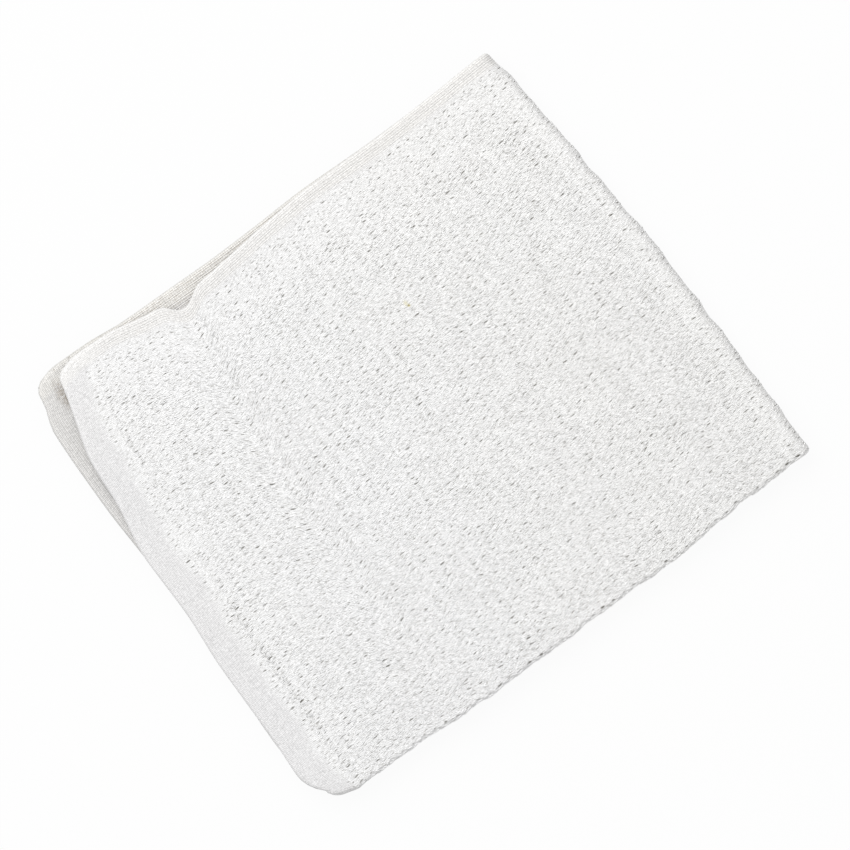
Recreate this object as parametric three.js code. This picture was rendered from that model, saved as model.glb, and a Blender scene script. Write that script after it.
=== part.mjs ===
// A bar towel: one hemmed terry cloth folded in half twice, into a flat stack of four layers.
//
// Millimetres, +Z up. The cloth lies flat, and the origin is on its underside, under the middle
// of its outline. The first fold runs along the -Y side and the second fold along the +X side.
// The two hems lie together along the -X side, and the two selvedges along the +Y side.
// The first fold lays an inner sheet under an outer one. The second fold bends that pair about
// itself, with the outer sheet outside, so the layers are outer, inner, inner and outer.
import * as THREE from "three";

// The stack seen from above, where its edges are taken as straight.
const STACK_LENGTH = 236;
const STACK_WIDTH = 206;

// One layer with its loops, and the air between two layers.
const LAYER = 2.2;
const AIR = 0.6;

// Selvedges and hems carry no loops, so they are thinner, and their cut ends are rounded.
const SELVEDGE_BAND = 5;
const SELVEDGE_THICKNESS = 1.4;
const HEM_BAND = 12;
const HEM_THICKNESS = 1.9;
const BAND_STEP = 2;
const END_ROUND = 0.7;

// Half the turn of each fold, in steps.
const FIRST_FOLD_STEPS = 3;
const SECOND_FOLD_STEPS = 5;

// The longest step between two lines of points, as a share of the stack's side.
const LONGEST_STEP_ALONG = 0.1;
const LONGEST_STEP_ACROSS = 0.1;

// How far the long edges stand out from the straight outline, from the hems to the second fold.
const LONG_EDGES = [
  { along: 0, foldUpper: -6, foldLower: -3.8, selvedgeTop: 1.4, selvedgeInner: 0.8, selvedgeUnder: -1 },
  { along: 0.05, foldUpper: -1, foldLower: -1.4, selvedgeTop: 3, selvedgeInner: 4, selvedgeUnder: 1 },
  { along: 0.12, foldUpper: -0.7, foldLower: -1.2, selvedgeTop: 0.9, selvedgeInner: 3.4, selvedgeUnder: 1.5 },
  { along: 0.2, foldUpper: 0.3, foldLower: -0.3, selvedgeTop: -2.3, selvedgeInner: 1.2, selvedgeUnder: 0 },
  { along: 0.3, foldUpper: 1.4, foldLower: 0.6, selvedgeTop: -4.6, selvedgeInner: 0.8, selvedgeUnder: -0.6 },
  { along: 0.4, foldUpper: 1.6, foldLower: 0.9, selvedgeTop: -2.9, selvedgeInner: 0.4, selvedgeUnder: -1 },
  { along: 0.5, foldUpper: 1.3, foldLower: 0.6, selvedgeTop: -0.7, selvedgeInner: 0.8, selvedgeUnder: -0.4 },
  { along: 0.6, foldUpper: 1, foldLower: 0.2, selvedgeTop: 0.6, selvedgeInner: 1.5, selvedgeUnder: 0 },
  { along: 0.75, foldUpper: 1.1, foldLower: 0.6, selvedgeTop: 0.5, selvedgeInner: 0.8, selvedgeUnder: 0 },
  { along: 0.85, foldUpper: -1.2, foldLower: -1.5, selvedgeTop: 1, selvedgeInner: 1, selvedgeUnder: 0.5 },
  { along: 1, foldUpper: -1.8, foldLower: -1.8, selvedgeTop: 2.3, selvedgeInner: 2.3, selvedgeUnder: 2.3 },
];

// How far the short edges stand out, from the first fold to the selvedges.
const SHORT_EDGES = [
  { across: 0, hemTop: -2, hemInner: -2, hemUnder: -2.3, secondFold: 3.8 },
  { across: 0.04, hemTop: 3, hemInner: 2.6, hemUnder: 1.6, secondFold: 3.6 },
  { across: 0.08, hemTop: 4.3, hemInner: 3.6, hemUnder: 3.2, secondFold: 3.4 },
  { across: 0.16, hemTop: 3.6, hemInner: 3, hemUnder: 4.1, secondFold: 3.5 },
  { across: 0.34, hemTop: 4.7, hemInner: 3.9, hemUnder: 3, secondFold: 2.9 },
  { across: 0.48, hemTop: 1.9, hemInner: 1.4, hemUnder: 0.5, secondFold: 2.3 },
  { across: 0.6, hemTop: 2, hemInner: 2.6, hemUnder: 1, secondFold: 0.8 },
  { across: 0.73, hemTop: -1.9, hemInner: 3.6, hemUnder: 2, secondFold: -1.2 },
  { across: 0.82, hemTop: -2.7, hemInner: 3.7, hemUnder: 2, secondFold: -2.4 },
  { across: 0.91, hemTop: -7, hemInner: 3, hemUnder: 1, secondFold: -4.3 },
  { across: 0.96, hemTop: -9.8, hemInner: -1.3, hemUnder: -2, secondFold: -5.4 },
  { across: 1, hemTop: -12, hemInner: -2.7, hemUnder: -4, secondFold: -6.9 },
];

// The top layer's selvedge is drawn in at one place.
const NOTCH = { along: 0.265, depth: 5, reachToHem: 0.035, reachToFold: 0.055 };

// Where the stack stands higher or lower than its layers alone, as a share of its height.
const SWELLS = [
  { along: 1, across: 0.5, reachAlong: 0.16, reachAcross: 2.5, share: 0.13 },
  { along: 0.5, across: 0, reachAlong: 2.5, reachAcross: 0.14, share: 0.09 },
  { along: 0.36, across: 0.42, reachAlong: 0.3, reachAcross: 0.32, share: -0.04 },
  { along: 0.72, across: 0.66, reachAlong: 0.24, reachAcross: 0.3, share: 0.05 },
  { along: 0.16, across: 0.2, reachAlong: 0.2, reachAcross: 0.26, share: 0.05 },
];

// Where the top layer stands off the layers below it.
const LIFTS = [
  { along: 0, across: 0.92, reachAlong: 0.22, reachAcross: 0.32, rise: 3 },
  { along: 0.02, across: 0.6, reachAlong: 0.12, reachAcross: 0.3, rise: 0.7 },
  { along: 0.36, across: 1, reachAlong: 0.16, reachAcross: 0.12, rise: 0.6 },
];

// Radii of the folds, at the middle of the one layer and of the pair of layers that they bend.
const FIRST_RADIUS = (LAYER + AIR) / 2;
const PAIR_HALF = FIRST_RADIUS + LAYER / 2;
const SECOND_RADIUS = PAIR_HALF + AIR / 2;
const STACK_HALF = SECOND_RADIUS + PAIR_HALF;

const QUARTER = Math.PI / 2;

// The slope of a table's column at one of its rows, which never lets the curve overshoot a row.
function slopeAtRow(rows, place, column, row) {
  const rise = (i) => (rows[i + 1][column] - rows[i][column]) / (rows[i + 1][place] - rows[i][place]);
  if (row === 0) return rise(0);
  if (row === rows.length - 1) return rise(row - 1);
  const before = rise(row - 1);
  const after = rise(row);
  return before * after > 0 ? (2 * before * after) / (before + after) : 0;
}

// A table's column read at any place, on a smooth curve through its rows.
function readTable(rows, place, column, at) {
  let row = 0;
  while (row < rows.length - 2 && rows[row + 1][place] <= at) row += 1;
  const span = rows[row + 1][place] - rows[row][place];
  const t = THREE.MathUtils.clamp((at - rows[row][place]) / span, 0, 1);
  const from = rows[row][column];
  const to = rows[row + 1][column];
  const leaving = slopeAtRow(rows, place, column, row) * span;
  const arriving = slopeAtRow(rows, place, column, row + 1) * span;
  const eased = t * t * (3 - 2 * t);
  return from + (to - from) * eased + t * (1 - t) * ((1 - t) * leaving - t * arriving);
}

// A soft hump that is 1 at its middle and 0 from one reach away.
function hump(distance, reach) {
  const t = Math.min(Math.abs(distance) / reach, 1);
  return (1 - t * t) ** 2;
}

// The summed height of a table's humps at a place on the stack.
function humps(rows, column, along, across) {
  const heights = rows.map(
    (row) =>
      row[column] * hump(along - row.along, row.reachAlong) * hump(across - row.across, row.reachAcross),
  );
  return heights.reduce((sum, height) => sum + height, 0);
}

// How far the notch draws the top selvedge in.
function notchDepth(along) {
  const distance = along - NOTCH.along;
  return NOTCH.depth * hump(distance, distance < 0 ? NOTCH.reachToHem : NOTCH.reachToFold);
}

// Thickness of the cloth at given distances from its nearer hem and its nearer selvedge.
function thicknessAt(fromHem, fromSelvedge) {
  const hem = THREE.MathUtils.smoothstep(fromHem, HEM_BAND - BAND_STEP, HEM_BAND + BAND_STEP);
  const selvedge = THREE.MathUtils.smoothstep(fromSelvedge, SELVEDGE_BAND - BAND_STEP, SELVEDGE_BAND);
  const byHem = THREE.MathUtils.lerp(HEM_THICKNESS, LAYER, hem);
  const bySelvedge = THREE.MathUtils.lerp(SELVEDGE_THICKNESS, LAYER, selvedge);
  return Math.min(byHem, bySelvedge);
}

// How far a layer reaches past a fold's centre line, and how high it stands there. The turn is
// the angle about that line, from a quarter turn on the upper leaf to minus that on the lower.
function bend(turn, radius) {
  return { reach: radius * Math.cos(turn), height: radius * Math.sin(turn) };
}

// The place of a point of the cloth. Along is its share of the way from the hems to the second
// fold, and across from the first fold to the selvedges. The turns are its angles about the two
// folds, and depth is its distance outwards from the middle of the cloth's thickness.
function place(point) {
  const { along, across, secondTurn, firstTurn, depth, overHem, overSelvedge } = point;
  const upper = (1 + Math.sin(secondTurn)) / 2;
  const outer = (1 + Math.sin(firstTurn)) / 2;
  const mix = THREE.MathUtils.lerp;

  const first = bend(firstTurn, FIRST_RADIUS + depth);
  const second = bend(secondTurn, SECOND_RADIUS + first.height);

  const short = (column) => readTable(SHORT_EDGES, "across", column, across);
  const long = (column) => readTable(LONG_EDGES, "along", column, along);
  const hemOut = mix(short("hemUnder"), mix(short("hemInner"), short("hemTop"), outer), upper);
  const topSelvedge = long("selvedgeTop") - notchDepth(along);
  const selvedgeOut = mix(long("selvedgeUnder"), mix(long("selvedgeInner"), topSelvedge, outer), upper);
  const foldOut = mix(long("foldLower"), long("foldUpper"), upper);

  const hemX = -STACK_LENGTH / 2 - hemOut - overHem;
  const secondFoldX = STACK_LENGTH / 2 + short("secondFold") - STACK_HALF;
  const firstFoldY = -STACK_WIDTH / 2 - foldOut + PAIR_HALF;
  const selvedgeY = STACK_WIDTH / 2 + selvedgeOut + overSelvedge;
  const x = mix(hemX, secondFoldX, along) + second.reach;
  const y = mix(firstFoldY, selvedgeY, across) - first.reach;

  const swell = 1 + humps(SWELLS, "share", along, across);
  const lift = humps(LIFTS, "rise", along, across) * outer * upper;
  return new THREE.Vector3(x, y, (STACK_HALF + second.height) * swell + lift);
}

// Shares from 0 to 1 that hold a table's rows and every named extra place, with no step too long.
function stations(rows, column, extras, longest) {
  const marks = [...new Set([...rows.map((row) => row[column]), ...extras])].sort((a, b) => a - b);
  const shares = [marks[0]];
  for (let i = 1; i < marks.length; i += 1) {
    const span = marks[i] - marks[i - 1];
    const pieces = Math.ceil(span / longest);
    for (let k = 1; k <= pieces; k += 1) shares.push(marks[i - 1] + (span * k) / pieces);
  }
  return shares;
}

// The lines of points over one direction of the cloth, from its edge on the upper leaf to the
// fold, round it, and out to its edge on the lower leaf.
function linesOver(edgeToFold, steps) {
  const leafUp = edgeToFold.map((share) => ({ share, turn: QUARTER }));
  const turning = [];
  for (let k = 1; k < 2 * steps; k += 1) {
    turning.push({ share: edgeToFold.at(-1), turn: QUARTER * (1 - k / steps) });
  }
  const leafDown = [...edgeToFold].reverse().map((share) => ({ share, turn: -QUARTER }));
  return [...leafUp, ...turning, ...leafDown];
}

// The closed cloth: an outward and an inward face, joined round the four cut edges.
function makeCloth() {
  const notchEnds = [NOTCH.along - NOTCH.reachToHem, NOTCH.along, NOTCH.along + NOTCH.reachToFold / 2];
  const bandEdge = 1 - SELVEDGE_BAND / STACK_WIDTH;
  const alongShares = stations(LONG_EDGES, "along", notchEnds, LONGEST_STEP_ALONG);
  const acrossShares = stations(SHORT_EDGES, "across", [bandEdge], LONGEST_STEP_ACROSS);
  const alongLines = linesOver(alongShares, SECOND_FOLD_STEPS);
  const acrossLines = linesOver(acrossShares.reverse(), FIRST_FOLD_STEPS);
  const rows = alongLines.length;
  const columns = acrossLines.length;

  const corners = [];
  const index = new Map();
  const corner = (i, j, side) => {
    const key = `${i},${j},${side}`;
    if (!index.has(key)) {
      const line = alongLines[i];
      const crossing = acrossLines[j];
      const thickness = thicknessAt(line.share * STACK_LENGTH, (1 - crossing.share) * STACK_WIDTH);
      index.set(key, corners.length);
      corners.push(
        place({
          along: line.share,
          across: crossing.share,
          secondTurn: line.turn,
          firstTurn: crossing.turn,
          depth: (side * thickness) / 2,
          overHem: side === 0 && (i === 0 || i === rows - 1) ? END_ROUND : 0,
          overSelvedge: side === 0 && (j === 0 || j === columns - 1) ? END_ROUND : 0,
        }),
      );
    }
    return index.get(key);
  };

  const faces = [];
  const quad = (a, b, c, d) => faces.push(a, c, b, a, d, c);
  for (let i = 0; i < rows - 1; i += 1) {
    for (let j = 0; j < columns - 1; j += 1) {
      quad(corner(i, j, 1), corner(i + 1, j, 1), corner(i + 1, j + 1, 1), corner(i, j + 1, 1));
      quad(corner(i, j, -1), corner(i, j + 1, -1), corner(i + 1, j + 1, -1), corner(i + 1, j, -1));
    }
  }
  const edge = [];
  for (let i = 0; i < rows - 1; i += 1) edge.push([i, 0]);
  for (let j = 0; j < columns - 1; j += 1) edge.push([rows - 1, j]);
  for (let i = rows - 1; i > 0; i -= 1) edge.push([i, columns - 1]);
  for (let j = columns - 1; j > 0; j -= 1) edge.push([0, j]);
  edge.forEach(([i, j], k) => {
    const [nextI, nextJ] = edge[(k + 1) % edge.length];
    quad(corner(i, j, 0), corner(nextI, nextJ, 0), corner(nextI, nextJ, 1), corner(i, j, 1));
    quad(corner(i, j, -1), corner(nextI, nextJ, -1), corner(nextI, nextJ, 0), corner(i, j, 0));
  });

  const geometry = new THREE.BufferGeometry().setFromPoints(corners);
  geometry.setIndex(faces);
  return geometry;
}

// Moves the origin under the middle of the outline, on the plane that the cloth lies on.
function centreOnOutline(geometry) {
  geometry.computeBoundingBox();
  const middle = geometry.boundingBox.getCenter(new THREE.Vector3());
  geometry.translate(-middle.x, -middle.y, 0);
  geometry.computeVertexNormals();
  return geometry;
}

const cotton = new THREE.MeshStandardMaterial({ color: 0xecebe8, roughness: 0.95, metalness: 0 });

const towel = new THREE.Mesh(centreOnOutline(makeCloth()), cotton);
towel.name = "towel";

const part = new THREE.Group();
part.name = "bar_towel";
part.add(towel);

export default part;
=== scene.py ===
"""A white terry bar towel, folded in half twice and lying flat, seen from straight above.

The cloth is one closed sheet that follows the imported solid's folds. Its looped pile, its hem
stitches and its ribbed selvedges are real geometry on that sheet. Sizes are in millimetres in
the tables and dataclasses, and points become metres where meshes are made.
"""

import logging
import math
from dataclasses import dataclass, field, fields
from enum import Enum
from typing import NamedTuple

import bpy
import numpy as np
from mathutils import Matrix, Vector


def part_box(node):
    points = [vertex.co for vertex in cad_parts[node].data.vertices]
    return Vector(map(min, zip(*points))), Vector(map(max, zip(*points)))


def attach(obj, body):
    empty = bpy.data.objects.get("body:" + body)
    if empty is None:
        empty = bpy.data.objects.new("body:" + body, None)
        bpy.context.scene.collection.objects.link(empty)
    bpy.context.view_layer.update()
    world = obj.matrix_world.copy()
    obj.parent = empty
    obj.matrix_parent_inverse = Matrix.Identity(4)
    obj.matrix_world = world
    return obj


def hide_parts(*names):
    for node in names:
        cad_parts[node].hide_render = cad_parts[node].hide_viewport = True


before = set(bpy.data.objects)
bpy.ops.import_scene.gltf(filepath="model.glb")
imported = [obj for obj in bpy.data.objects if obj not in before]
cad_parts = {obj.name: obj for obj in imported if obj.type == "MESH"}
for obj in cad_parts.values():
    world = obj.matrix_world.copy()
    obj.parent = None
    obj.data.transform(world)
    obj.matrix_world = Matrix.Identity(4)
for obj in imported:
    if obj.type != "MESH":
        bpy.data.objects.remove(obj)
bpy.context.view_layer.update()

MM = 0.001
QUARTER = math.pi / 2
TINY = 1e-9
WHITE = (1.0, 1.0, 1.0, 1.0)
NODE = "towel"
BODY = "root"
log = logging.getLogger("bar_towel")

Array = np.ndarray
Amount = float | np.ndarray
Colour = tuple[float, float, float]
Socket = bpy.types.NodeSocket
Feed = float | tuple[float, ...] | bpy.types.NodeSocket


class LongEdge(NamedTuple):
    """How far each long edge stands out at one place between the hems and the second fold."""

    along: float
    fold_upper: float
    fold_lower: float
    selvedge_top: float
    selvedge_inner: float
    selvedge_under: float


class ShortEdge(NamedTuple):
    """How far each short edge stands out at one place between first fold and selvedges."""

    across: float
    hem_top: float
    hem_inner: float
    hem_under: float
    second_fold: float


class Hump(NamedTuple):
    """A soft rise or fall of the stack or of its top layer, with its middle and reaches."""

    along: float
    across: float
    reach_along: float
    reach_across: float
    size: float


LONG_EDGES = (
    LongEdge(0.00, 0.3, -0.4, -0.8, 0.6, -1.0),
    LongEdge(0.05, 0.5, -0.8, 1.5, 3.1, 1.0),
    LongEdge(0.12, -0.3, -1.0, 0.9, 2.8, 1.5),
    LongEdge(0.20, 0.3, -0.3, -2.3, 1.2, 0.0),
    LongEdge(0.30, 1.4, 0.6, -4.6, 0.8, -0.6),
    LongEdge(0.40, 1.6, 0.9, -2.9, 0.4, -1.0),
    LongEdge(0.50, 1.3, 0.6, -0.7, 0.8, -0.4),
    LongEdge(0.60, 1.0, 0.2, 0.6, 1.5, 0.0),
    LongEdge(0.75, 1.1, 0.6, 0.5, 0.8, 0.0),
    LongEdge(0.85, -1.2, -1.5, 1.0, 1.0, 0.5),
    LongEdge(1.00, -1.8, -1.8, 2.3, 2.3, 2.3),
)

SHORT_EDGES = (
    ShortEdge(0.00, 3.4, 3.2, 1.6, 3.8),
    ShortEdge(0.04, 4.0, 3.5, 2.4, 3.6),
    ShortEdge(0.08, 4.3, 3.6, 3.2, 3.4),
    ShortEdge(0.16, 3.6, 3.0, 4.1, 3.5),
    ShortEdge(0.34, 3.4, 2.6, 2.4, 2.9),
    ShortEdge(0.48, 1.7, 1.2, 0.5, 2.3),
    ShortEdge(0.60, 2.0, 2.0, 1.0, 0.8),
    ShortEdge(0.73, -1.9, 2.9, 1.8, -1.2),
    ShortEdge(0.82, -3.3, 2.7, 1.6, -2.4),
    ShortEdge(0.91, -8.3, 1.9, 1.0, -4.3),
    ShortEdge(0.96, -11.3, -1.3, -2.0, -5.4),
    ShortEdge(1.00, -13.2, -2.7, -4.0, -6.9),
)

SWELLS = (
    Hump(1.00, 0.50, 0.16, 2.50, 0.13),
    Hump(0.50, 0.00, 2.50, 0.14, 0.09),
    Hump(0.36, 0.42, 0.30, 0.32, -0.04),
    Hump(0.72, 0.66, 0.24, 0.30, 0.05),
    Hump(0.16, 0.20, 0.20, 0.26, 0.05),
)

LIFTS = (
    Hump(0.00, 0.92, 0.22, 0.32, 3.0),
    Hump(0.02, 0.60, 0.12, 0.30, 0.7),
    Hump(0.36, 1.00, 0.16, 0.12, 0.6),
)


class StainAndShade(NamedTuple):
    """A soft mark on the folded cloth, with its middle and reaches in millimetres: a stain, or, on the inner
    sheet only, mostly painted shade by the top layer's edges.
    """

    x: float
    y: float
    reach_x: float
    reach_y: float
    colour: Colour
    inner_only: bool


# The first three are stains. The inner-only rows are painted shade on the inner sheet: the brown hollow
# under the top layer's lifted hem corner, the paler grey along the hem below it, and the grey strip beside
# the top layer's selvedge. The other two inner-only rows are small dark spots by that edge.
STAINS_AND_SHADE = (
    StainAndShade(25.5, 41.2, 0.8, 0.8, (0.55, 0.44, 0.06), False),
    StainAndShade(25.0, 42.6, 1.3, 2.0, (0.86, 0.82, 0.62), False),
    StainAndShade(-92.2, 0.7, 0.9, 0.6, (0.22, 0.21, 0.19), False),
    StainAndShade(-107.5, 94.0, 4.2, 9.0, (0.5, 0.43, 0.35), True),
    StainAndShade(-106.0, 86.0, 4.0, 16.0, (0.84, 0.8, 0.75), True),
    StainAndShade(-97.4, 105.1, 0.9, 0.7, (0.3, 0.28, 0.24), True),
    StainAndShade(-105.2, 104.8, 0.8, 0.6, (0.35, 0.32, 0.28), True),
    StainAndShade(-84.0, 104.6, 22.0, 2.6, (0.85, 0.845, 0.825), True),
)


def hump_at(distance: Amount, reach: Amount) -> Array:
    """A soft hump that is 1 at its middle and 0 from one reach away."""
    share = np.minimum(np.abs(distance) / reach, 1.0)
    return (1.0 - share**2) ** 2


def ease(value: Amount, low: float, high: float) -> Array:
    """Rises smoothly from 0 at low to 1 at high."""
    share = np.clip((value - low) / (high - low), 0.0, 1.0)
    return share * share * (3.0 - 2.0 * share)


def mix(first: Amount, second: Amount, share: Amount) -> Amount:
    """First where share is 0, second where it is 1."""
    return first + (second - first) * share


class Wave(NamedTuple):
    """A wave of an edge, with its rise and its length for each radian in millimetres."""

    rise: float
    size: float
    start: float = 0.0

    def at(self, where: Array) -> Array:
        """How far the wave stands out at each place."""
        return self.rise * np.sin(where / self.size + self.start)


@dataclass(frozen=True)
class SmoothTable:
    """One column of a table, read on a curve that never overshoots its rows."""

    places: Array
    values: Array

    @classmethod
    def column(cls, rows: tuple[NamedTuple, ...], place: str, column: str) -> "SmoothTable":
        """Takes one named column of a table.

        Args:
            rows: the table.
            place: the column that says where each row is.
            column: the column to read.

        Returns:
            The readable column.
        """
        places = np.array([getattr(row, place) for row in rows])
        values = np.array([getattr(row, column) for row in rows])
        return cls(places, values)

    def slopes(self) -> Array:
        """Finds the curve's slopes.

        Returns:
            The slope at each row.
        """
        rises = np.diff(self.values) / np.diff(self.places)
        before, after = rises[:-1], rises[1:]
        total = np.where(np.abs(before + after) < TINY, 1.0, before + after)
        inner = np.where(before * after > 0, 2 * before * after / total, 0.0)
        return np.concatenate([rises[:1], inner, rises[-1:]])

    def at(self, where: Array) -> Array:
        """Reads the column.

        Args:
            where: the places to read it at.

        Returns:
            Its value at each place.
        """
        row = np.clip(np.searchsorted(self.places, where, side="right") - 1, 0, len(self.places) - 2)
        span = self.places[row + 1] - self.places[row]
        t = np.clip((where - self.places[row]) / span, 0.0, 1.0)
        slopes = self.slopes()
        leaving, arriving = slopes[row] * span, slopes[row + 1] * span
        eased = t * t * (3 - 2 * t)
        line = mix(self.values[row], self.values[row + 1], eased)
        return line + t * (1 - t) * ((1 - t) * leaving - t * arriving)


@dataclass(frozen=True)
class Spot:
    """Points of the cloth, each by its shares of the straight stretches and its fold angles.

    Along runs from the hems (0) to the second fold (1), and across from the first fold (0) to
    the selvedges (1). A turn is the angle about a fold: a quarter turn on the upper or outer
    leaf, minus that on the lower or inner one. Depth is the distance outwards from the middle
    of the cloth's thickness.
    """

    along: Array
    across: Array
    second_turn: Array
    first_turn: Array
    depth: Array
    over_hem: Amount = 0.0
    over_selvedge: Amount = 0.0


@dataclass(frozen=True)
class FoldedStack:
    """The twice folded cloth's sizes, and where each point of it lies.

    The notch, the crease and the ridge are places along the stack with their reaches, as shares
    of its length. The sway is the top layer's slow waves, and the ripples are its folds' small
    ones, each with its own start.
    """

    length: float = 236.0
    width: float = 206.0
    layer: float = 2.2
    air: float = 0.6
    notch_along: float = 0.265
    notch_depth: float = 5.0
    notch_to_hem: float = 0.035
    notch_to_fold: float = 0.055
    crease_along: float = 0.272
    crease_reach: float = 0.016
    crease_start: float = 0.84
    crease_fall: float = 0.55
    ridge_along: float = 0.41
    ridge_reach: float = 0.24
    ridge_rise: float = 0.8
    sway_rise: float = 0.22
    sway_size: float = 34.0
    sway_bend: float = 1.7
    sway_bend_rate: float = 0.8
    sway_across: float = 1.3
    sway_slant: float = 0.6
    sway_start: float = 1.1
    sway_edge: float = 0.12
    crumple_end: float = 0.86
    corner_outer: float = 2.4
    corner_inner: float = 3.0
    corner_folded: float = 17.0
    ripple: float = 0.3
    ripple_size: float = 4.3
    ripple_drift: float = 1.3
    ripple_drift_size: float = 11.0
    fine_ripple: float = 0.6
    fine_ripple_size: float = 2.1
    first_fold_start: float = 0.4
    second_fold_start: float = 2.2

    @property
    def first_radius(self) -> float:
        """Radius of the first fold, at the middle of the layer that it bends."""
        return (self.layer + self.air) / 2

    @property
    def pair_half(self) -> float:
        """Half the thickness of the two layers that the first fold makes."""
        return self.first_radius + self.layer / 2

    @property
    def second_radius(self) -> float:
        """Radius of the second fold, at the middle of the pair of layers that it bends."""
        return self.pair_half + self.air / 2

    @property
    def half(self) -> float:
        """Half the stack's thickness."""
        return self.second_radius + self.pair_half

    @property
    def straight_length(self) -> float:
        """The stretch between the hems and the second fold."""
        return self.length - self.half

    @property
    def straight_width(self) -> float:
        """The stretch between the first fold and the selvedges."""
        return self.width - self.pair_half

    def cloth_length(self, radius: float) -> float:
        """The cloth's length from hem to hem, over a face with this radius at the second fold."""
        return 2 * self.straight_length + math.pi * radius

    def cloth_width(self, radius: float) -> float:
        """The cloth's width between selvedges, over a face with this radius at the first fold."""
        return 2 * self.straight_width + math.pi * radius

    def humps(self, rows: tuple[Hump, ...], along: Array, across: Array) -> Array:
        """Sums a table's humps.

        Args:
            rows: the table.
            along: shares of the way from the hems to the second fold.
            across: shares of the way from the first fold to the selvedges.

        Returns:
            The humps' size at each place.
        """
        total = np.zeros(np.broadcast(along, across).shape)
        for row in rows:
            rise = hump_at(along - row.along, row.reach_along)
            total = total + row.size * rise * hump_at(across - row.across, row.reach_across)
        return total

    def notch(self, along: Array) -> Array:
        """Finds how far the notch draws the top selvedge in.

        Args:
            along: shares of the way from the hems to the second fold.

        Returns:
            Millimetres at each place.
        """
        distance = along - self.notch_along
        reach = np.where(distance < 0, self.notch_to_hem, self.notch_to_fold)
        return self.notch_depth * hump_at(distance, reach)

    def crumple(self, along: Array, across: Array) -> Array:
        """Raises the top layer's soft ridge and small sway, and sinks its short crease.

        Args:
            along: shares of the way from the hems to the second fold.
            across: shares of the way from the first fold to the selvedges.

        Returns:
            Its height in millimetres at each place.
        """
        ridge = self.ridge_rise * hump_at(along - self.ridge_along, self.ridge_reach)
        x, y = along * self.length / self.sway_size, across * self.width / self.sway_size
        bent = np.sin(x + self.sway_bend * np.sin(self.sway_bend_rate * y))
        slanted = np.sin(self.sway_across * y - self.sway_slant * x + self.sway_start)
        sway = self.sway_rise * (bent + slanted + 2.0) / 2
        inside = ease(along, 0.0, self.sway_edge) * ease(across, 0.0, self.sway_edge)
        crease = self.crease_fall * hump_at(along - self.crease_along, self.crease_reach)
        crease = crease * ease(across, self.crease_start, 1.0)
        return (ridge + sway * inside) * (1.0 - ease(along, self.crumple_end, 1.0)) - crease

    def rounding(self, radius: Amount, from_hem: Array, from_side: Array) -> tuple[Array, Array]:
        """Rounds a corner between the hems and one long side.

        Args:
            radius: the rounding's radius.
            from_hem: distance from the hems, in millimetres.
            from_side: distance from that long side.

        Returns:
            How far it draws the cloth in, lengthwise and across.
        """
        at_hem = np.clip(1.0 - from_hem / radius, 0.0, 1.0)
        at_side = np.clip(1.0 - from_side / radius, 0.0, 1.0)
        lengthwise = radius * at_hem * (1.0 - np.sqrt(1.0 - at_side**2 / 2))
        return lengthwise, radius * at_side * (1.0 - np.sqrt(1.0 - at_hem**2 / 2))

    def ripples(self, travelled: Array, start: float) -> Array:
        """Makes a fold's edge uneven in small waves.

        Args:
            travelled: distance along the fold, in millimetres.
            start: where the waves start.

        Returns:
            How far the edge stands out at each place.
        """
        drift = self.ripple_drift * np.sin(travelled / self.ripple_drift_size)
        slow = np.sin(travelled / self.ripple_size + start + drift)
        fine = self.fine_ripple * np.sin(travelled / self.fine_ripple_size + 2.0 * start)
        return self.ripple * (slow + fine)

    def long_edge(self, column: str, along: Array) -> Array:
        """How far a long edge stands out, by the table's column, at each place along."""
        return SmoothTable.column(LONG_EDGES, "along", column).at(along)

    def short_edge(self, column: str, across: Array) -> Array:
        """How far a short edge stands out, by the table's column, at each place across."""
        return SmoothTable.column(SHORT_EDGES, "across", column).at(across)

    def place(self, spot: Spot) -> Array:
        """Lays points of the cloth in the stack.

        Args:
            spot: the points.

        Returns:
            Their places in millimetres, one row each, before the stack is centred.
        """
        upper = (1 + np.sin(spot.second_turn)) / 2
        outer = (1 + np.sin(spot.first_turn)) / 2
        first_arm = self.first_radius + spot.depth
        first_reach = first_arm * np.cos(spot.first_turn)
        second_arm = self.second_radius + first_arm * np.sin(spot.first_turn)
        second_reach = second_arm * np.cos(spot.second_turn)
        second_height = second_arm * np.sin(spot.second_turn)

        hem_top = self.short_edge("hem_top", spot.across)
        hem_pair = mix(self.short_edge("hem_inner", spot.across), hem_top, outer)
        hem_out = mix(self.short_edge("hem_under", spot.across), hem_pair, upper)
        top_selvedge = self.long_edge("selvedge_top", spot.along) - self.notch(spot.along)
        selvedge_pair = mix(self.long_edge("selvedge_inner", spot.along), top_selvedge, outer)
        selvedge_out = mix(self.long_edge("selvedge_under", spot.along), selvedge_pair, upper)
        fold_upper = self.long_edge("fold_upper", spot.along)
        fold_out = mix(self.long_edge("fold_lower", spot.along), fold_upper, upper)
        fold_out = fold_out + self.ripples(spot.along * self.length, self.first_fold_start)
        second_out = self.short_edge("second_fold", spot.across)
        second_out = second_out + self.ripples(spot.across * self.width, self.second_fold_start)

        from_hem, from_fold = spot.along * self.straight_length, spot.across * self.straight_width
        from_selvedge = (1.0 - spot.across) * self.straight_width
        corner = mix(self.corner_inner, self.corner_outer, outer)
        corner_x, corner_y = self.rounding(corner, from_hem, from_selvedge)
        drawn_x, drawn_y = self.rounding(self.corner_folded, from_hem, from_fold)

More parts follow.
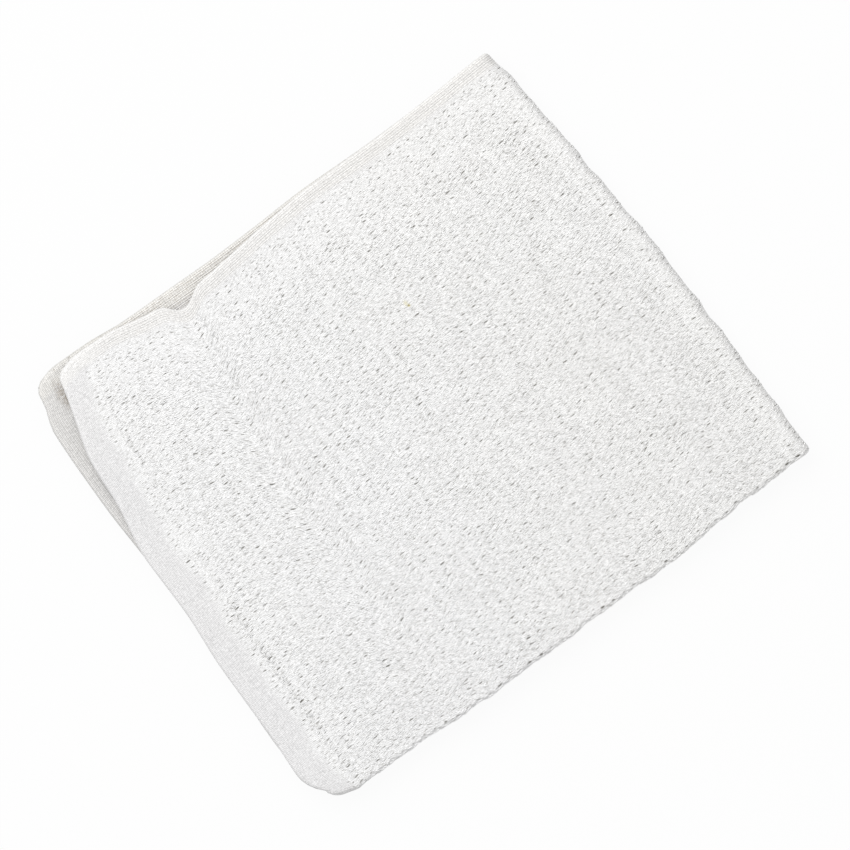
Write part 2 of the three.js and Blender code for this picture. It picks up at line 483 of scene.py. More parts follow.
        hem_x = -self.length / 2 - hem_out - spot.over_hem + corner_x
        second_fold_x = self.length / 2 + second_out - self.half
        first_fold_y = -self.width / 2 - fold_out + self.pair_half
        selvedge_y = self.width / 2 + selvedge_out + spot.over_selvedge - corner_y
        x = mix(hem_x, second_fold_x, spot.along) + second_reach + drawn_x
        y = mix(first_fold_y, selvedge_y, spot.across) - first_reach + drawn_y

        swell = 1 + self.humps(SWELLS, spot.along, spot.across)
        lift = self.humps(LIFTS, spot.along, spot.across) + self.crumple(spot.along, spot.across)
        z = (self.half + second_height) * swell + lift * outer * upper
        return np.stack(np.broadcast_arrays(x, y, z), axis=-1).reshape(-1, 3)


class Surface(Enum):
    """What a cotton material covers."""

    PILE = "pile"
    GROUND = "ground"
    THREAD = "thread"


@dataclass(frozen=True)
class ClothFinish:
    """A cotton's colour and surface.

    Fresh is its colour, and the second colour the faint cream that it turns to in patches and towards the
    second fold, a little darker there as painted shade. Speckle is how dark its finest spots are. Fluff is
    how far its loose fibres turn its shading to the cloth's own.
    """

    name: str
    fresh: Colour
    cream_and_shade: Colour
    roughness: float = 0.95
    sheen: float = 0.25
    sheen_roughness: float = 0.5
    specular: float = 0.2
    bump_strength: float = 0.35
    bump_distance: float = 0.0002
    fluff: float = 0.0
    grain: float = 0.8
    speckle: float = 0.29


# Each second colour is a faint cream, a little darker than the fresh one as painted shade towards the second
# fold.
FINISHES = {
    Surface.PILE: ClothFinish(
        "pile_cotton",
        fresh=(0.8, 0.799, 0.8),
        cream_and_shade=(0.791, 0.786, 0.776),
        fluff=1.0,
        bump_strength=0.2,
        speckle=0.12,
    ),
    Surface.GROUND: ClothFinish("ground_cotton", fresh=(0.618, 0.617, 0.617), cream_and_shade=(0.613, 0.61, 0.603)),
    Surface.THREAD: ClothFinish("sewing_thread", fresh=(0.86, 0.858, 0.85), cream_and_shade=(0.85, 0.84, 0.82)),
}


def mesh_object(name: str, points: Array, *faces: Array) -> bpy.types.Object:
    """Makes a smooth object of arrays of faces.

    Args:
        name: the object's name.
        points: its points in metres, one row each.
        faces: arrays of faces, each with as many point numbers in a row as its faces have corners.

    Returns:
        The object, in the scene, at the origin.
    """
    corners = np.concatenate([some.ravel() for some in faces]).astype(np.int32)
    sizes = np.concatenate([np.full(len(some), some.shape[1]) for some in faces])
    starts = np.concatenate([[0], np.cumsum(sizes)[:-1]]).astype(np.int32)
    mesh = bpy.data.meshes.new(name)
    mesh.vertices.add(len(points))
    mesh.vertices.foreach_set("co", np.ascontiguousarray(points, dtype=np.float32).ravel())
    mesh.loops.add(len(corners))
    mesh.loops.foreach_set("vertex_index", corners)
    mesh.polygons.add(len(sizes))
    mesh.polygons.foreach_set("loop_start", starts)
    mesh.update(calc_edges=True)
    mesh.polygons.foreach_set("use_smooth", np.ones(len(sizes), dtype=bool))
    mesh.update()
    made = bpy.data.objects.new(name, mesh)
    bpy.context.scene.collection.objects.link(made)
    return made


def set_uv(made: bpy.types.Object, uv: Array) -> None:
    """Gives an object a UV map named cloth.

    Args:
        made: the object.
        uv: one UV for each point.
    """
    layer = made.data.uv_layers.new(name="cloth")
    corners = np.zeros(len(made.data.loops), dtype=np.int32)
    made.data.loops.foreach_get("vertex_index", corners)
    layer.data.foreach_set("uv", uv[corners].astype(np.float32).ravel())


def set_share(made: bpy.types.Object, name: str, share: Array) -> None:
    """Gives an object a named point attribute of one value a point, which its material reads."""
    attribute = made.data.attributes.new(name=name, type="FLOAT", domain="POINT")
    attribute.data.foreach_set("value", share.astype(np.float32))


def set_vector(made: bpy.types.Object, name: str, rows: Array) -> None:
    """Gives an object a named point attribute of three values a point."""
    attribute = made.data.attributes.new(name=name, type="FLOAT_VECTOR", domain="POINT")
    attribute.data.foreach_set("vector", np.ascontiguousarray(rows, dtype=np.float32).ravel())


@dataclass(frozen=True)
class GapShadeGrid:
    """Painted shade of the gaps between loops: short dark dashes in rows and columns over the unfolded
    cloth, in millimetres.

    Stagger and scatter are in shares of a pitch. Least and most bound a dash's size, faint its
    strength, and cluster is how much the size changes in patches.
    """

    row_pitch: float
    column_pitch: float
    length: float
    width: float
    scatter: float
    least: float
    most: float
    cluster: float
    colour: Colour
    row_start: float = 0.0
    column_start: float = 0.0
    stagger: float = 0.0
    faint: float = 0.3


# Painted shade in the gaps between the loops, coarse and fine.
GAP_SHADES = (
    GapShadeGrid(
        row_pitch=5.05,
        column_pitch=2.65,
        length=1.9,
        width=0.46,
        scatter=0.1,
        least=0.35,
        most=1.1,
        cluster=0.6,
        colour=(0.2, 0.19, 0.17),
    ),
    GapShadeGrid(
        row_pitch=5.05,
        column_pitch=2.65,
        row_start=1.67,
        column_start=1.325,
        length=1.5,
        width=0.42,
        scatter=0.18,
        least=-0.1,
        most=0.95,
        cluster=0.8,
        colour=(0.28, 0.27, 0.25),
    ),
    GapShadeGrid(
        row_pitch=1.7,
        column_pitch=0.62,
        stagger=0.41,
        length=1.3,
        width=0.3,
        scatter=0.5,
        least=-0.15,
        most=1.15,
        cluster=0.35,
        colour=(0.6, 0.59, 0.565),
    ),
)


@dataclass(frozen=True)
class Patches:
    """Uneven patches, from their least value up to 1 where the noise goes from low to high."""

    size: float
    low: float
    high: float
    least: float


@dataclass
class ShaderKit:
    """Short ways to add nodes to one material's shader."""

    material: bpy.types.Material

    def add(self, kind: str) -> bpy.types.Node:
        """A new node of a kind."""
        return self.material.node_tree.nodes.new(kind)

    def feed(self, socket: Socket, value: Feed) -> None:
        """Links a socket to another one, or sets its value.

        Args:
            socket: the socket to feed.
            value: the other socket, or the value.
        """
        if isinstance(value, bpy.types.NodeSocket):
            self.material.node_tree.links.new(value, socket)
        else:
            socket.default_value = value

    def operate(self, kind: str, operation: str, values: tuple[Feed, ...]) -> bpy.types.Node:
        """Adds a node that works on its inputs in their order.

        Args:
            kind: the node's kind.
            operation: what it does.
            values: what its inputs take.

        Returns:
            The node.
        """
        node = self.add(kind)
        node.operation = operation
        for number, value in enumerate(values):
            self.feed(node.inputs[number], value)
        return node

    def math(self, operation: str, *values: Feed) -> Socket:
        """The result of an operation on one to three values."""
        return self.operate("ShaderNodeMath", operation, values).outputs["Value"]

    def vector_math(self, operation: str, *values: Feed) -> Socket:
        """The result of an operation on one to three vectors."""
        return self.operate("ShaderNodeVectorMath", operation, values).outputs["Vector"]

    def split(self, vector: Feed) -> tuple[Socket, Socket, Socket]:
        """Takes a vector apart.

        Args:
            vector: the vector.

        Returns:
            Its three values.
        """
        node = self.add("ShaderNodeSeparateXYZ")
        self.feed(node.inputs["Vector"], vector)
        return node.outputs["X"], node.outputs["Y"], node.outputs["Z"]

    def place(self) -> Socket:
        """The place on the object, in metres."""
        return self.add("ShaderNodeTexCoord").outputs["Object"]

    def cloth_uv(self) -> Socket:
        """Reads the object's UV map.

        Returns:
            The place on the UV map named cloth.
        """
        node = self.add("ShaderNodeUVMap")
        node.uv_map = "cloth"
        return node.outputs["UV"]

    def attribute(self, name: str, output: str = "Fac") -> Socket:
        """Reads a point attribute.

        Args:
            name: the attribute.
            output: its one value, or its vector or colour of three.

        Returns:
            What it says here.
        """
        node = self.add("ShaderNodeAttribute")
        node.attribute_name = name
        return node.outputs[output]

    def noise(
        self, size: float, detail: float = 0.0, where: Socket | None = None, output: str = "Fac"
    ) -> Socket:
        """Makes uneven values about a half.

        Args:
            size: the size of its features, in millimetres.
            detail: how many finer layers it has.
            where: the coordinates that it is read at, or the place on the object.
            output: its one value, or its colour of three.

        Returns:
            The values.
        """
        node = self.add("ShaderNodeTexNoise")
        node.inputs["Scale"].default_value = 1 / (size * MM)
        node.inputs["Detail"].default_value = detail
        self.feed(node.inputs["Vector"], where or self.place())
        return node.outputs[output]

    def chances(self, *values: Feed) -> tuple[Socket, Socket, Socket]:
        """Draws random values.

        Args:
            values: up to three whole numbers.

        Returns:
            Three values from 0 to 1 for each set of numbers.
        """
        cell = self.add("ShaderNodeCombineXYZ")
        for number, value in enumerate(values):
            self.feed(cell.inputs[number], value)
        node = self.add("ShaderNodeTexWhiteNoise")
        self.feed(node.inputs["Vector"], cell.outputs["Vector"])
        return self.split(node.outputs["Color"])

    def spread(self, value: Feed, low: float, high: float, start: float = 0.0, end: float = 1.0) -> Socket:
        """Spreads a value's range over another one and clamps it.

        Args:
            value: the value.
            low: what becomes start.
            high: what becomes end.
            start: the new range's one end.
            end: its other end.

        Returns:
            The new value.
        """
        node = self.add("ShaderNodeMapRange")
        node.inputs["From Min"].default_value = low
        node.inputs["From Max"].default_value = high
        node.inputs["To Min"].default_value = start
        node.inputs["To Max"].default_value = end
        self.feed(node.inputs["Value"], value)
        return node.outputs["Result"]

    def patches(self, patches: Patches, where: Socket | None = None) -> Socket:
        """Values from the patches' least up to 1."""
        noise = self.noise(patches.size, 1.0, where)
        return self.spread(noise, patches.low, patches.high, patches.least, 1.0)

    def wave(self, direction: str, scale: float, distortion: float, where: Socket) -> bpy.types.Node:
        """Adds parallel waves.

        Args:
            direction: the way that they run.
            scale: how close they are.
            distortion: how uneven.
            where: the coordinates that they are read at.

        Returns:
            Their node.
        """
        node = self.add("ShaderNodeTexWave")
        node.bands_direction = direction
        node.inputs["Scale"].default_value = scale
        node.inputs["Distortion"].default_value = distortion
        self.feed(node.inputs["Vector"], where)
        return node

    def colours(self, first: Feed, second: Feed, share: Feed = 1.0, blend: str = "MULTIPLY") -> Socket:
        """Brings two colours together.

        Args:
            first: the one colour.
            second: the other one.
            share: how strongly the other one counts.
            blend: how, such as multiplied or mixed.

        Returns:
            The new colour.
        """
        node = self.add("ShaderNodeMix")
        node.data_type = "RGBA"
        node.blend_type = blend
        self.feed(node.inputs["Factor"], share)
        self.feed(node.inputs["A"], first)
        self.feed(node.inputs["B"], second)
        return node.outputs["Result"]


@dataclass
class CottonMaterials:
    """The towel's cotton materials, one for each surface.

    The cream grows between two places along X, in metres, and is a little darker there as painted shade
    towards the second fold. The wobble moves the painted gap shade this way and that. The weave's and the
    ribs' shades are how dark they are on the outer sheet, or on the inner one, which the layer above keeps
    in shade; the ribs' dark is painted shade in their grooves. Plain is how far from the hem the ribs start,
    and the inner sheet's plain and reach are added to the outer one's.
    """

    cream_and_shade_from: float = -0.03
    cream_and_shade_to: float = 0.06
    cream_and_shade_least: float = 0.1
    cream_and_shade_most: float = 0.75
    cream_size: float = 45.0
    cream_share: float = 0.7
    cream_low: float = 0.3
    cream_high: float = 1.3
    grain_size: float = 0.5
    speckle_size: float = 0.3
    speckle_stretch: float = 0.28
    speckle_low: float = 0.3
    speckle_high: float = 0.7
    pile_from_selvedge: float = 5.2
    wobble_size: float = 2.6
    wobble: float = 0.6
    gap_shade_edge: float = 0.3
    cluster_size: float = 11.0
    stain_and_shade_edge: float = 0.5
    mottle: Patches = Patches(1.1, 0.38, 0.62, 0.15)
    seam: float = 15.5
    seam_gap_reach: float = 4.5
    seam_gap: float = 0.3
    seam_patches: Patches = Patches(9.0, 0.35, 0.65, 0.4)
    yarn_pitch: float = 0.67
    weft_pitch: float = 1.05
    weft_share: float = 0.6
    yarn_waver: float = 1.2
    weave_low: float = 0.2
    weave_high: float = 1.4
    weave_shade: float = 0.16
    inner_weave_shade: float = 0.34
    rib_pitch: float = 0.95
    rib_top: float = 0.1
    rib_patches: Patches = Patches(1.5, 0.42, 0.62, 0.15)
    rib_shade: float = 0.22
    inner_rib_shade: float = 0.62
    rib_reach: float = 5.5
    inner_rib_reach: float = 6.0
    rib_fade_out: float = 0.6
    rib_fade_in: float = 0.9
    outer_plain: float = 18.0
    inner_plain: float = 16.0
    plain_fade: float = 8.0
    groove_shade_colour: Colour = (0.52, 0.47, 0.4)
    ply_scale: float = 1.6
    ply_waver: float = 0.8
    made: dict[Surface, bpy.types.Material] = field(default_factory=dict)

    def get(self, surface: Surface) -> bpy.types.Material:
        """Finds a surface's material.

        Args:
            surface: what it covers.

        Returns:
            The material, made the first time that it is asked for.
        """
        if surface not in self.made:
            self.made[surface] = self.build(surface, FINISHES[surface])
        return self.made[surface]

    def build(self, surface: Surface, finish: ClothFinish) -> bpy.types.Material:
        """Makes one cotton material.

        Args:
            surface: what it covers.
            finish: its colours and surface.

        Returns:
            The material.
        """
        material = bpy.data.materials.new(finish.name)
        material.use_nodes = True
        kit = ShaderKit(material)
        shader = material.node_tree.nodes["Principled BSDF"]
        shader.inputs["Roughness"].default_value = finish.roughness
        shader.inputs["Sheen Weight"].default_value = finish.sheen
        shader.inputs["Sheen Roughness"].default_value = finish.sheen_roughness
        shader.inputs["Specular IOR Level"].default_value = finish.specular
        kit.feed(shader.inputs["Base Color"], self.colour(kit, surface, finish))

        height = self.weave(kit) if surface is Surface.GROUND else self.ply(kit)
        bump = kit.add("ShaderNodeBump")
        bump.inputs["Strength"].default_value = finish.bump_strength
        bump.inputs["Distance"].default_value = finish.bump_distance
        grain = kit.noise(self.grain_size, 2.0)
        kit.feed(bump.inputs["Height"], kit.math("MULTIPLY_ADD", grain, finish.grain, height))
        if finish.fluff:
            kit.feed(bump.inputs["Normal"], self.fluffed(kit, finish.fluff))
        kit.feed(shader.inputs["Normal"], bump.outputs["Normal"])
        return material

    def colour(self, kit: ShaderKit, surface: Surface, finish: ClothFinish) -> Socket:
        """Mixes a cotton's colour.

        Args:
            kit: adds the nodes.
            surface: what the cotton covers.
            finish: its colours and surface.

        Returns:
            The colour.
        """
        # The fresh colour turns to cream in patches and towards the second fold, a little darker there as
        # painted shade.
        colour = kit.colours((*finish.fresh, 1), (*finish.cream_and_shade, 1), self.cream_and_shade_share(kit), "MIX")
        # Each piece's tint, which holds painted light and shade as well as the bands' own tints.
        colour = kit.colours(colour, kit.attribute("tint_light_and_shade", "Color"))
        stretched = kit.vector_math("MULTIPLY", kit.place(), (self.speckle_stretch, 1.0, 1.0))
        speckle = Patches(self.speckle_size, self.speckle_low, self.speckle_high, 1.0 - finish.speckle)
        colour = kit.colours(colour, kit.patches(speckle, stretched))
        if surface is Surface.GROUND:
            colour = kit.colours(colour, self.bands(kit))
        if surface is not Surface.THREAD:
            # Painted shade of the gaps between loops.
            for grid in GAP_SHADES:
                colour = kit.colours(colour, (*grid.colour, 1), self.gap_shade(kit, grid))
            # Stains, and painted shade on the inner sheet by the top layer's edges.
            for mark in STAINS_AND_SHADE:
                colour = kit.colours(colour, (*mark.colour, 1), self.stained_and_shaded(kit, mark))
        return colour

    def cream_and_shade_share(self, kit: ShaderKit) -> Socket:
        """Makes the cotton cream in soft patches, and more towards the second fold, where the cream is also
        a little darker as painted shade.

        Args:
            kit: adds the nodes.

        Returns:
            How far it turns to the cream and its painted shade, from 0 to 1.
        """
        x = kit.split(kit.place())[0]
        towards_fold = kit.spread(x, self.cream_and_shade_from, self.cream_and_shade_to, self.cream_and_shade_least, self.cream_and_shade_most)
        patches = kit.math("MULTIPLY_ADD", kit.noise(self.cream_size, 3.0), self.cream_share, towards_fold)
        return kit.spread(patches, self.cream_low, self.cream_high)

    def fluffed(self, kit: ShaderKit, fluff: float) -> Socket:
        """Turns the shading towards the cloth's own, as loose fibres scatter light.

        Args:
            kit: adds the nodes.
            fluff: how far, from 0 to 1.

        Returns:
            The normal.
        """
        blend = kit.add("ShaderNodeMix")
        blend.data_type = "VECTOR"
        blend.inputs["Factor"].default_value = fluff
        kit.feed(blend.inputs["A"], kit.add("ShaderNodeNewGeometry").outputs["Normal"])
        kit.feed(blend.inputs["B"], kit.attribute("outward", "Vector"))
        return kit.vector_math("NORMALIZE", blend.outputs["Result"])

    def wobbled(self, kit: ShaderKit) -> tuple[Socket, Socket, Socket]:
        """Moves the place on the unfolded cloth a little this way and that.

        Args:
            kit: adds the nodes.

        Returns:
            The place along and across in millimetres, and nothing.
        """
        noise = kit.noise(self.wobble_size, 1.0, output="Color")
        moves = kit.vector_math("SUBTRACT", noise, (0.5, 0.5, 0.5))
        moves = kit.vector_math("MULTIPLY", moves, (self.wobble, self.wobble, 0.0))
        return kit.split(kit.vector_math("ADD", kit.attribute("cloth_place", "Vector"), moves))

    def spot(self, kit: ShaderKit, first: Feed, second: Feed, size: Feed, edge: float) -> Socket:
        """Makes a soft spot.

        Args:
            kit: adds the nodes.
            first: the offset one way, in shares of the spot's reach.
            second: the offset the other way.
            size: the spot's radius, in the same shares.
            edge: half the width of its soft edge.

        Returns:
            How strongly it shows.
        """
        squares = kit.math("ADD", kit.math("MULTIPLY", first, first), kit.math("MULTIPLY", second, second))
        inside = kit.math("SUBTRACT", size, kit.math("SQRT", squares))
        return kit.spread(inside, -edge, edge)

    def away(self, kit: ShaderKit, offset: Feed, chance: Feed, scatter: float, scale: float) -> Socket:
        """Finds how far a place is from its dash's middle.

        Args:
            kit: adds the nodes.
            offset: how far it is from the grid's nearest row or column, in shares of the pitch.
            chance: the dash's random value.
            scatter: how far that moves the dash.
            scale: turns shares of the pitch into shares of the dash's reach.

        Returns:
            The distance in shares of the dash's reach.
        """
        moved = kit.math("MULTIPLY_ADD", chance, scatter, -scatter / 2)
        return kit.math("MULTIPLY", kit.math("ADD", offset, moved), scale)

    def gap_shade(self, kit: ShaderKit, grid: GapShadeGrid) -> Socket:
        """Paints the shade of the gaps between loops as dark dashes.

        Args:
            kit: adds the nodes.
            grid: the painted gap shade.

        Returns:
            How strongly they show.
        """
        along, across, _ = self.wobbled(kit)
        from_start = kit.math("SUBTRACT", across, self.pile_from_selvedge + grid.column_start)
        columns = kit.math("DIVIDE", from_start, grid.column_pitch)
        column = kit.math("ROUND", columns)
        stagger = kit.math("MULTIPLY", kit.math("PINGPONG", column, 1.0), grid.stagger)
        rows = kit.math("DIVIDE", kit.math("SUBTRACT", along, grid.row_start), grid.row_pitch)
        rows = kit.math("SUBTRACT", rows, kit.math("ADD", stagger, 0.5))
        row = kit.math("ROUND", rows)
        one, two, three = kit.chances(row, column, grid.length)
        strong = kit.chances(row, column, -grid.length)[0]

        off_row, off_column = kit.math("SUBTRACT", rows, row), kit.math("SUBTRACT", columns, column)
        lengthwise = self.away(kit, off_row, one, grid.scatter, 2 * grid.row_pitch / grid.length)
        widthwise = self.away(kit, off_column, two, grid.scatter, 2 * grid.column_pitch / grid.width)
        patchy = kit.noise(self.cluster_size, 2.0)
        clusters = kit.math("MULTIPLY_ADD", patchy, grid.cluster, -grid.cluster / 2)
        size = kit.math("ADD", kit.math("MULTIPLY_ADD", three, grid.most - grid.least, grid.least), clusters)
        size = kit.math("ADD", size, self.seam_gap_shade(kit))
        inside = self.spot(kit, lengthwise, widthwise, size, self.gap_shade_edge)
        shown = kit.math("MULTIPLY", inside, kit.attribute("pile"))
        return kit.math("MULTIPLY", shown, kit.spread(strong, 0.0, 1.0, grid.faint, 1.0))

    def seam_gap_shade(self, kit: ShaderKit) -> Socket:
        """Makes the painted gap shade larger along the hem's seam.

        Args:
            kit: adds the nodes.

        Returns:
            What is added to their size.
        """
        from_hem, _, strength = kit.split(kit.attribute("edges", "Vector"))
        away = kit.math("ABSOLUTE", kit.math("SUBTRACT", from_hem, self.seam))
        near = kit.spread(away, self.seam_gap_reach, 0.0)
        larger = kit.math("MULTIPLY", kit.math("MULTIPLY", near, strength), kit.patches(self.seam_patches))
        return kit.math("MULTIPLY", larger, self.seam_gap)

    def stained_and_shaded(self, kit: ShaderKit, mark: StainAndShade) -> Socket:
        """Makes a stain, or a patch of painted shade on the inner sheet.

        Args:
            kit: adds the nodes.
            mark: its place, reach and colour.

        Returns:
            How strongly it shows.
        """
        x, y, _ = kit.split(kit.place())
        lengthwise = kit.math("DIVIDE", kit.math("SUBTRACT", x, mark.x * MM), mark.reach_x * MM)
        sideways = kit.math("DIVIDE", kit.math("SUBTRACT", y, mark.y * MM), mark.reach_y * MM)
        shown = self.spot(kit, lengthwise, sideways, self.stain_and_shade_edge, self.stain_and_shade_edge)
        if not mark.inner_only:
            return shown
        # Inner-only marks, mostly painted shade, are mottled and kept to the inner sheet.
        mottled = kit.math("MULTIPLY", shown, kit.patches(self.mottle))
        return kit.math("MULTIPLY", mottled, kit.attribute("inner"))

    def weave(self, kit: ShaderKit) -> Socket:
        """Makes a plain weave over the UV map, whose unit is a metre of cloth.

        Args:
            kit: adds the nodes.

        Returns:
            The weave's height.
        """
        waves = []
        for axis, pitch in (("Y", self.yarn_pitch), ("X", self.weft_pitch)):
            wave = kit.wave(axis, math.pi / (10 * pitch * MM), self.yarn_waver, kit.cloth_uv())
            wave.inputs["Detail"].default_value = 1.0
            wave.inputs["Detail Scale"].default_value = 2.0
            waves.append(wave.outputs["Fac"])
        return kit.math("MULTIPLY_ADD", waves[1], self.weft_share, waves[0])

    def bands(self, kit: ShaderKit) -> Socket:
        """Makes the weave's fine light and dark, and the painted shade in the selvedge ribs' grooves, where
        there is no pile. Both are darker on the inner sheet, as painted shade under the layer above.

        Args:
            kit: adds the nodes.

        Returns:
            The colour that the cloth's own is multiplied by.
        """
        bare, inner = kit.math("SUBTRACT", 1.0, kit.attribute("pile")), kit.attribute("inner")
        least = kit.spread(inner, 0.0, 1.0, 1.0 - self.weave_shade, 1.0 - self.inner_weave_shade)
        woven = kit.spread(self.weave(kit), self.weave_low, self.weave_high)
        woven = kit.math("MULTIPLY_ADD", woven, kit.math("SUBTRACT", 1.0, least), least)

        from_hem, from_selvedge, _ = kit.split(kit.attribute("edges", "Vector"))
        phase = kit.math("MULTIPLY", from_selvedge, 2 * math.pi / self.rib_pitch)
        groove = kit.spread(kit.math("SINE", phase), self.rib_top, -1.0)
        plain = kit.math("MULTIPLY_ADD", inner, self.inner_plain, self.outer_plain)
        begun = kit.spread(kit.math("SUBTRACT", from_hem, plain), -self.plain_fade, self.plain_fade)
        reach = kit.math("MULTIPLY_ADD", inner, self.inner_rib_reach, self.rib_reach)
        past = kit.math("SUBTRACT", from_selvedge, reach)
        ribbed = kit.math("MULTIPLY", kit.math("MULTIPLY", groove, kit.patches(self.rib_patches)), begun)
        ribbed = kit.math("MULTIPLY", ribbed, kit.spread(past, self.rib_fade_out, -self.rib_fade_in))
        # Painted shade in the grooves between the selvedge ribs, stronger on the inner sheet.
        shade = kit.spread(inner, 0.0, 1.0, self.rib_shade, self.inner_rib_shade)
        ribbed = kit.colours(WHITE, (*self.groove_shade_colour, 1), kit.math("MULTIPLY", ribbed, shade), "MIX")
        return kit.colours(WHITE, kit.colours(ribbed, woven), bare)

    def ply(self, kit: ShaderKit) -> Socket:
        """The height of two plies twisted along a yarn, over the yarn's own UV map."""
        return kit.wave("DIAGONAL", self.ply_scale, self.ply_waver, kit.cloth_uv()).outputs["Fac"]


@dataclass
class Lines:
    """Lines of points over one direction of the cloth, from one cut edge to the other."""

    share: Array
    turn: Array
    travelled: Array

    @classmethod
    def over(cls, from_edge: Array, straight: float, radius: float, turn_steps: int) -> "Lines":
        """Runs lines from an edge to the fold, round it, and out to the other edge.

        Args:
            from_edge: distances from the cut edge, up to the straight stretch.
            straight: the straight stretch.
            radius: the fold's radius.
            turn_steps: steps in half the fold's turn.

        Returns:
            The lines, with share 0 at the edge and 1 at the fold.
        """
        leaf = from_edge / straight
        turning = np.linspace(QUARTER, -QUARTER, 2 * turn_steps + 1)[1:-1]
        share = np.concatenate([leaf, np.ones(len(turning)), leaf[::-1]])
        turn = np.concatenate([np.full(len(leaf), QUARTER), turning, np.full(len(leaf), -QUARTER)])
        round_fold = straight + (QUARTER - turning) * radius
        back = 2 * straight + math.pi * radius - from_edge[::-1]
        return cls(share, turn, np.concatenate([from_edge, round_fold, back]))


@dataclass
class TerryCloth:
    """The ground cloth: a closed sheet with thick turned hems and ribbed selvedges.

    The seam sinks by its fall where its strength is 1: it rises from the first fold, fades past the middle,
    and shows again a little farther on. The tints are for the bands without pile, each between the distances
    from the edge where it is full and where it ends. The inner sheet's tint is lighter, as painted light
    against the shade of the layer above, and by the hem it turns creamier and a little darker.
    """

    stack: FoldedStack
    ground: float = 1.7
    hem: float = 1.9
    hem_band: float = 15.5
    hem_step_before: float = 1.0
    hem_step_after: float = 1.5
    hem_end_thinning: float = 0.25
    hem_end_reach: float = 1.0
    seam: float = 16.5
    seam_reach: float = 2.2
    seam_fall: float = 0.2
    seam_full: float = 0.14
    seam_fade: float = 0.85
    seam_fade_start: float = 0.4
    seam_fade_end: float = 0.52
    seam_again: float = 0.2
    seam_again_at: float = 0.75
    seam_again_reach: float = 0.2
    selvedge_band: float = 5.5
    selvedge_end_thinning: float = 0.3
    selvedge_end_reach: float = 1.2
    rib_pitch: float = 0.95
    rib_rise: float = 0.12
    rib_fade: float = 1.0
    rib_start: float = 12.0
    rib_full: float = 28.0
    inner_rib_later: float = 16.0
    end_round: float = 0.55
    pile_from_hem: float = 9.5
    pile_full: float = 13.0
    pile_from_selvedge: float = 5.2
    pile_fade_before: float = 0.6
    pile_fade_after: float = 2.6
    ragged: tuple[Wave, Wave] = (Wave(0.9, 5.1), Wave(0.6, 2.3, 1.0))
    wavy: Wave = Wave(0.6, 6.0)
    inner_band: float = 6.0
    under_pile: float = 1.04
    hem_tint: Colour = (1.0, 0.994, 0.996)
    selvedge_tint: Colour = (1.07, 1.06, 1.045)
    selvedge_tint_full: float = 4.5
    selvedge_tint_end: float = 7.0
    # The inner sheet's tints are lighter than the outer bands', as painted light against the shade of the
    # layer above. By the hem they turn creamier and a little darker than the outer bands.
    inner_tint_and_light: Colour = (1.06, 1.05, 1.025)
    inner_hem_tint_and_light: Colour = (0.99, 0.983, 0.962)
    inner_hem_tint_full: float = 14.0
    inner_hem_tint_end: float = 30.0
    hem_grid_band: float = 21.0
    hem_grid_step: float = 1.0
    coarse_step: float = 2.6
    fine_band: float = 9.5
    steps_a_rib: int = 4
    wide_step: float = 4.4
    second_turn_steps: int = 10
    first_turn_steps: int = 6

    def pile_growth(self, from_hem: Array, from_selvedge: Array, inner: Array) -> Array:
        """Finds how far the pile has grown.

        Args:
            from_hem: distance from the nearer hem's edge.
            from_selvedge: distance from the nearer selvedge.
            inner: 1 on the inner sheet, whose ribbed selvedge is wider.

        Returns:
            From 0 on the bands to 1 where it is full, with a ragged start along the hem.
        """
        ragged = self.ragged[0].at(from_selvedge) + self.ragged[1].at(from_selvedge)
        off_hem = ease(from_hem - ragged, self.pile_from_hem, self.pile_full)
        off_selvedge = from_selvedge - self.wavy.at(from_hem) - self.pile_from_selvedge
        off_selvedge = off_selvedge - self.inner_band * inner
        return off_hem * ease(off_selvedge, -self.pile_fade_before, self.pile_fade_after)

    def seam_strength(self, across: Array) -> Array:
        """Finds how deep the hem's seam sinks.

        Args:
            across: shares of the way from the first fold to the selvedge.

        Returns:
            Its strength, from 0 to 1.
        """
        fading = self.seam_fade * ease(across, self.seam_fade_start, self.seam_fade_end)
        again = self.seam_again * hump_at(across - self.seam_again_at, self.seam_again_reach)
        return ease(across, 0.0, self.seam_full) * (1.0 - fading) + again

    def half_thickness(self, from_hem: Array, from_selvedge: Array, across: Array, inner: Array) -> Array:
        """Finds half the cloth's thickness.

        Args:
            from_hem: distance from the nearer hem's edge.
            from_selvedge: distance from the nearer selvedge.
            across: share of the way from the first fold to the selvedge.
            inner: 1 on the inner sheet.

        Returns:
            The half thickness in millimetres.
        """
        step = ease(from_hem, self.hem_band - self.hem_step_before, self.hem_band + self.hem_step_after)
        body = mix(self.hem, self.ground, step) / 2
        fall = self.seam_fall * hump_at(from_hem - self.seam, self.seam_reach)
        ribs = self.rib_rise * np.sin(2 * math.pi * from_selvedge / self.rib_pitch)
        reach = mix(self.selvedge_band, self.fine_band - self.rib_fade, inner)
        band = 1.0 - ease(from_selvedge - reach, -self.rib_fade, self.rib_fade)
        off_hem = ease(from_hem - self.inner_rib_later * inner, self.rib_start, self.rib_full)
        at_selvedge = 1.0 - ease(from_selvedge, 0.0, self.selvedge_end_reach)
        at_hem = 1.0 - ease(from_hem, 0.0, self.hem_end_reach)
        edge = 1.0 - self.selvedge_end_thinning * at_selvedge - self.hem_end_thinning * at_hem
        return (body - fall * self.seam_strength(across) + ribs * band * off_hem) * edge

    def edge_steps(self, straight: float, band: float, fine: float, coarse: float) -> Array:
        """Spaces points between a cut edge and the fold.

        Args:
            straight: the way from the one to the other.
            band: how far the fine steps go.
            fine: the fine step.
            coarse: the longest step beyond the band.

        Returns:
            Their distances from the cut edge.
        """
        near = np.arange(0.0, band, fine)
        pieces = math.ceil((straight - band) / coarse)
        return np.concatenate([near, np.linspace(band, straight, pieces + 1)])

